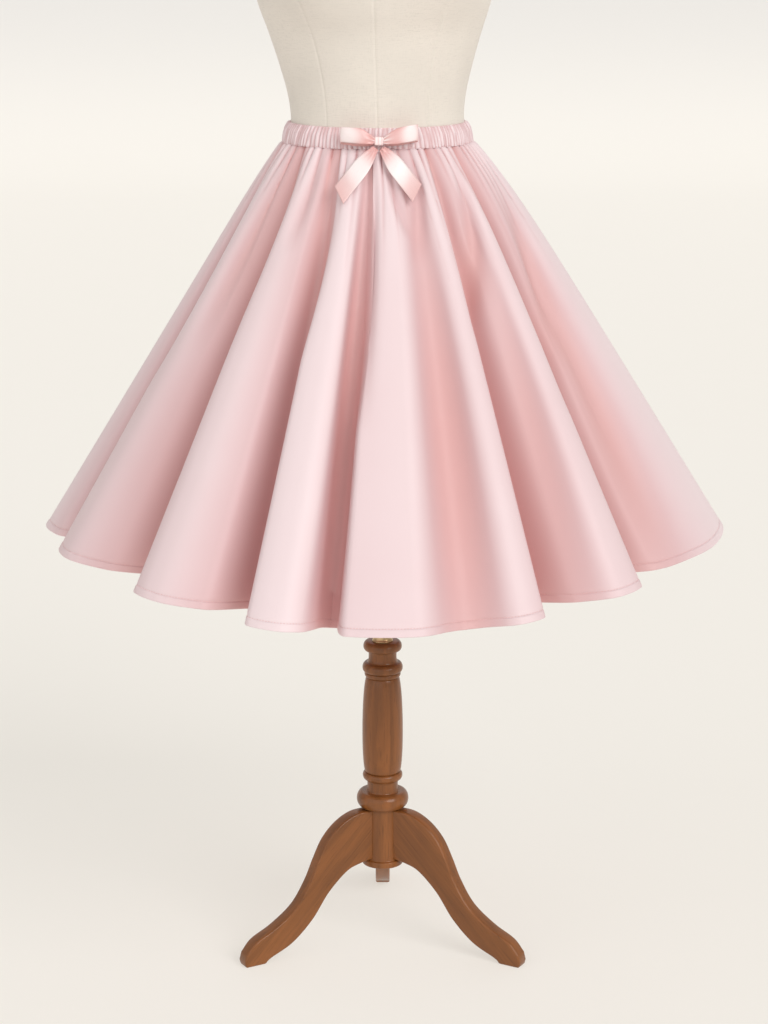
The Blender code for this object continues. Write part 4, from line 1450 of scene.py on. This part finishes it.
def build_hub(finish, sides):
    lip_top = HUB_BOTTOM_Z + LIP_HEIGHT
    top = (HUB_RADIUS, HUB_TOP_Z)
    neck = (HUB_RADIUS, lip_top)
    lip = (HUB_LIP, lip_top)
    foot = (HUB_LIP, HUB_BOTTOM_Z)
    middle = (0.0, HUB_BOTTOM_Z)
    profile = [(0, HUB_BORE_Z), (BORE_RADIUS, HUB_BORE_Z), (BORE_RADIUS, HUB_TOP_Z), top]
    profile += rounded(neck, top, lip, 0.0022)
    profile += rounded(lip, neck, foot, 0.0022)
    profile += rounded(foot, lip, middle, 0.0030)
    profile.append(middle)
    turned("hub", profile, finish, sides, "stand")


def build_leg(name, azimuth, finish):
    """A board sawn to an S curve, with all its long edges rounded over."""
    top = smooth_path(LEG_TOP, 7)
    under = smooth_path(LEG_UNDER, 7)
    heel = rounded(LEG_UNDER[0], TOE[-1], LEG_UNDER[1], 2.5)
    sole = rounded(TOE[-1], TOE[0], LEG_UNDER[0], 2.5)
    outline_mm = [*map(tuple, top), TOE[0], *sole, *heel, *map(tuple, under[3:])]
    shape = bmesh.new()
    verts = [shape.verts.new((LEG_THICK / 2, -out * MM, z * MM)) for out, z in outline_mm]
    face = shape.faces.new(verts)
    pulled = bmesh.ops.extrude_face_region(shape, geom=[face])
    moved = [item for item in pulled["geom"] if isinstance(item, bmesh.types.BMVert)]
    bmesh.ops.translate(shape, vec=(-LEG_THICK, 0, 0), verts=moved)
    bmesh.ops.recalc_face_normals(shape, faces=shape.faces)
    rims = [
        edge
        for edge in shape.edges
        if edge.calc_face_angle(0.0) > math.radians(60)
        and abs(edge.verts[0].co.x - edge.verts[1].co.x) < 1e-6
    ]
    bmesh.ops.bevel(
        shape, geom=rims, offset=LEG_EDGE, segments=5, profile=0.5, affect="EDGES", clamp_overlap=True
    )
    mesh = mesh_of(name, shape)
    lean = Matrix.Rotation(math.radians(LEG_GRAIN), 3, "X")
    give_grain(mesh, lean, (azimuth * 0.01, 0.3, 0.1))
    mesh.transform(Matrix.Rotation(math.radians(azimuth), 4, "Z"))
    piece = piece_of(name, mesh, finish, 40.0)
    hand_over(piece, "stand", [name])


def build_ferrule(finish, sides):
    top, middle, foot = FERRULE_RADII
    low, high = FERRULE_BOTTOM_Z, FERRULE_TOP_Z
    profile = [(BORE_RADIUS, high)]
    profile += rounded((top, high), (BORE_RADIUS, high), (middle, low), 0.0010)
    profile.append((middle, mix(low, high, 0.35)))
    profile.append((mix(middle, foot, 0.5), mix(low, high, 0.16)))
    profile += rounded((foot, low + 0.0012), (middle, low + 0.003), (foot, low), 0.0006)
    profile += [(foot, low), (BORE_RADIUS, low)]
    turned("ferrule", profile, finish, sides, "stand")


def build_pole(finish, sides):
    top = FORM_BOTTOM_Z - GAP
    foot = top - COLLAR_HEIGHT
    profile = [(0, POLE_TOP_Z), (POLE_RADIUS, POLE_TOP_Z), (POLE_RADIUS, top)]
    profile += [(COLLAR_RADIUS - POLE_EDGE, top), (COLLAR_RADIUS, top - POLE_EDGE)]
    profile += [(COLLAR_RADIUS, foot + POLE_EDGE), (COLLAR_RADIUS - POLE_EDGE, foot), (POLE_RADIUS, foot)]
    profile += [(POLE_RADIUS, POLE_BOTTOM_Z + POLE_EDGE), (POLE_RADIUS - POLE_EDGE, POLE_BOTTOM_Z)]
    profile.append((0, POLE_BOTTOM_Z))
    turned("pole", profile, finish, sides, "mast")


# Stage


def build_backdrop(finish):
    """A floor that sweeps up into a wall."""
    half, front, middle, bend, radius, top = 14.0, -12.0, -2.0, 8.5, 2.5, 8.0
    line = [(front, 0.0), (middle, 0.0)]
    for turn in np.linspace(0, math.pi / 2, 17):
        line.append((bend + radius * math.sin(turn), radius * (1 - math.cos(turn))))
    line.append((bend + radius, top))
    points = np.array([[(x, y, z) for x in np.linspace(-half, half, 9)] for y, z in line])
    piece = piece_of("backdrop", grid_mesh("backdrop", points[::-1]), finish, 80.0)


def add_sun(name, aim_from, strength, size):
    data = bpy.data.lights.new(name, "SUN")
    data.energy = strength
    data.color = WARM_WHITE
    data.angle = math.radians(size)
    lamp = placed(name, data)
    lamp.location = aim_from
    lamp.rotation_mode = "QUATERNION"
    lamp.rotation_quaternion = (Vector((0, 0, 0.9)) - Vector(aim_from)).to_track_quat("-Z", "Y")


def light_room(settings):
    world = bpy.data.worlds.new("studio")
    world.use_nodes = True
    sky = world.node_tree.nodes["Background"]
    sky.inputs["Color"].default_value = (*SKY_WHITE, 1.0)
    sky.inputs["Strength"].default_value = settings.fill
    bpy.context.scene.world = world
    add_sun("key", KEY_FROM, settings.key, KEY_SIZE)
    add_sun("front", FRONT_FROM, settings.key * FRONT_SHARE, FRONT_SIZE)


def place_camera():
    data = bpy.data.cameras.new("camera")
    data.sensor_width = CAMERA_SENSOR
    data.lens = CAMERA_LENS
    camera = placed("camera", data)
    camera.location = CAMERA_PLACE
    camera.rotation_euler = (math.radians(CAMERA_TILT), 0.0, 0.0)
    bpy.context.scene.camera = camera


# Operators, panel and registration


class SKIRT_OT_panels(bpy.types.Operator):
    """Build the skirt's front and back with their folds, gathers and turned hem"""

    bl_idname = "skirt.panels"
    bl_label = "Skirt panels"

    def execute(self, context):
        settings = context.scene.skirt_cloth
        finish = finish_for(pink_satin, settings.crest, settings.middle, settings.deep)
        front = build_panel("skirt_front", -SIDE_SEAM, SIDE_SEAM, settings, finish)
        back = build_panel("skirt_back", SIDE_SEAM, 360 - SIDE_SEAM, settings, finish)
        stitches = context.scene.skirt_stitches
        thread = finish_for(sewing_thread, stitches.colour)
        build_stitching("hem_stitches", [front[2:-2], back[2:-2]], stitches, thread)
        return {"FINISHED"}


class SKIRT_OT_waistband(bpy.types.Operator):
    """Build the crinkled elastic waistband and the stitching along its foot"""

    bl_idname = "skirt.waistband"
    bl_label = "Waistband"

    def execute(self, context):
        settings = context.scene.skirt_band
        cloth = context.scene.skirt_cloth
        build_band(settings, finish_for(pink_satin, cloth.crest, cloth.middle, cloth.deep))
        turns = np.linspace(0, 2 * math.pi, 301)
        ring = band_surface(turns, settings)[0][-2]
        stitches = context.scene.skirt_stitches
        build_stitching("band_stitches", [ring], stitches, finish_for(sewing_thread, stitches.colour))
        return {"FINISHED"}


class SKIRT_OT_bow(bpy.types.Operator):
    """Tie the ribbon bow: knot, two loops and two tails"""

    bl_idname = "skirt.bow"
    bl_label = "Bow"

    def execute(self, context):
        settings = context.scene.skirt_bow
        finish = finish_for(satin_ribbon, settings.light, settings.shade)
        build_knot(finish)
        for name, side, stations in LOOPS:
            build_loop(name, side, stations, settings, finish)
        for row in TAILS:
            build_tail(*row, settings, finish)
        return {"FINISHED"}


class SKIRT_OT_dress_form(bpy.types.Operator):
    """Build the linen-covered dress form"""

    bl_idname = "skirt.dress_form"
    bl_label = "Dress form"

    def execute(self, context):
        settings = context.scene.skirt_form
        build_form(settings, finish_for(cream_linen, settings.colour))
        return {"FINISHED"}


class SKIRT_OT_pole(bpy.types.Operator):
    """Build the brass pole and the ferrule that it slides in"""

    bl_idname = "skirt.pole"
    bl_label = "Pole and ferrule"

    def execute(self, context):
        settings = context.scene.skirt_stand
        finish = finish_for(brushed_brass, settings.brass)
        build_pole(finish, settings.sides)
        build_ferrule(finish, settings.sides)
        return {"FINISHED"}


class SKIRT_OT_stand(bpy.types.Operator):
    """Build the turned column, the hub and the three legs"""

    bl_idname = "skirt.stand"
    bl_label = "Wooden stand"

    def execute(self, context):
        settings = context.scene.skirt_stand
        finish = finish_for(varnished_walnut, settings.wood)
        build_column(finish, settings.sides)
        build_hub(finish, settings.sides)
        for name, azimuth in LEG_AZIMUTHS.items():
            build_leg(name, azimuth, finish)
        return {"FINISHED"}


class SKIRT_OT_stage(bpy.types.Operator):
    """Set up the floor, the backdrop, the light and the camera"""

    bl_idname = "skirt.stage"
    bl_label = "Stage"

    def execute(self, context):
        settings = context.scene.skirt_stage
        build_backdrop(finish_for(backdrop_paper, settings.paper, settings.floor_glow, settings.wall_glow))
        light_room(settings)
        place_camera()
        context.scene.view_settings.view_transform = "Standard"
        return {"FINISHED"}


GROUPS = {
    "skirt_cloth": SkirtSettings,
    "skirt_band": BandSettings,
    "skirt_bow": BowSettings,
    "skirt_stitches": StitchSettings,
    "skirt_form": FormSettings,
    "skirt_stand": StandSettings,
    "skirt_stage": StageSettings,
}
OPERATORS = (
    SKIRT_OT_panels,
    SKIRT_OT_waistband,
    SKIRT_OT_bow,
    SKIRT_OT_dress_form,
    SKIRT_OT_pole,
    SKIRT_OT_stand,
    SKIRT_OT_stage,
)


class SKIRT_PT_sidebar(bpy.types.Panel):
    """Lists the settings and the pieces that can be built"""

    bl_idname = "SKIRT_PT_sidebar"
    bl_label = "Circle skirt"
    bl_space_type = "VIEW_3D"
    bl_region_type = "UI"
    bl_category = "Skirt"

    def draw(self, context):
        for operator in OPERATORS:
            self.layout.operator(operator.bl_idname)
        for group in GROUPS:
            box = self.layout.box()
            settings = getattr(context.scene, group)
            for name in settings.bl_rna.properties.keys():
                if name not in ("rna_type", "name"):
                    box.prop(settings, name)


def register():
    for group, kind in GROUPS.items():
        bpy.utils.register_class(kind)
        setattr(bpy.types.Scene, group, bpy.props.PointerProperty(type=kind))
    for kind in (*OPERATORS, SKIRT_PT_sidebar):
        bpy.utils.register_class(kind)


def unregister():
    for kind in (SKIRT_PT_sidebar, *reversed(OPERATORS)):
        bpy.utils.unregister_class(kind)
    for group, kind in GROUPS.items():
        delattr(bpy.types.Scene, group)
        bpy.utils.unregister_class(kind)


def main():
    register()
    bpy.ops.skirt.panels()
    bpy.ops.skirt.waistband()
    bpy.ops.skirt.bow()
    bpy.ops.skirt.dress_form()
    bpy.ops.skirt.pole()
    bpy.ops.skirt.stand()
    bpy.ops.skirt.stage()


if __name__ == "__main__":
    main()
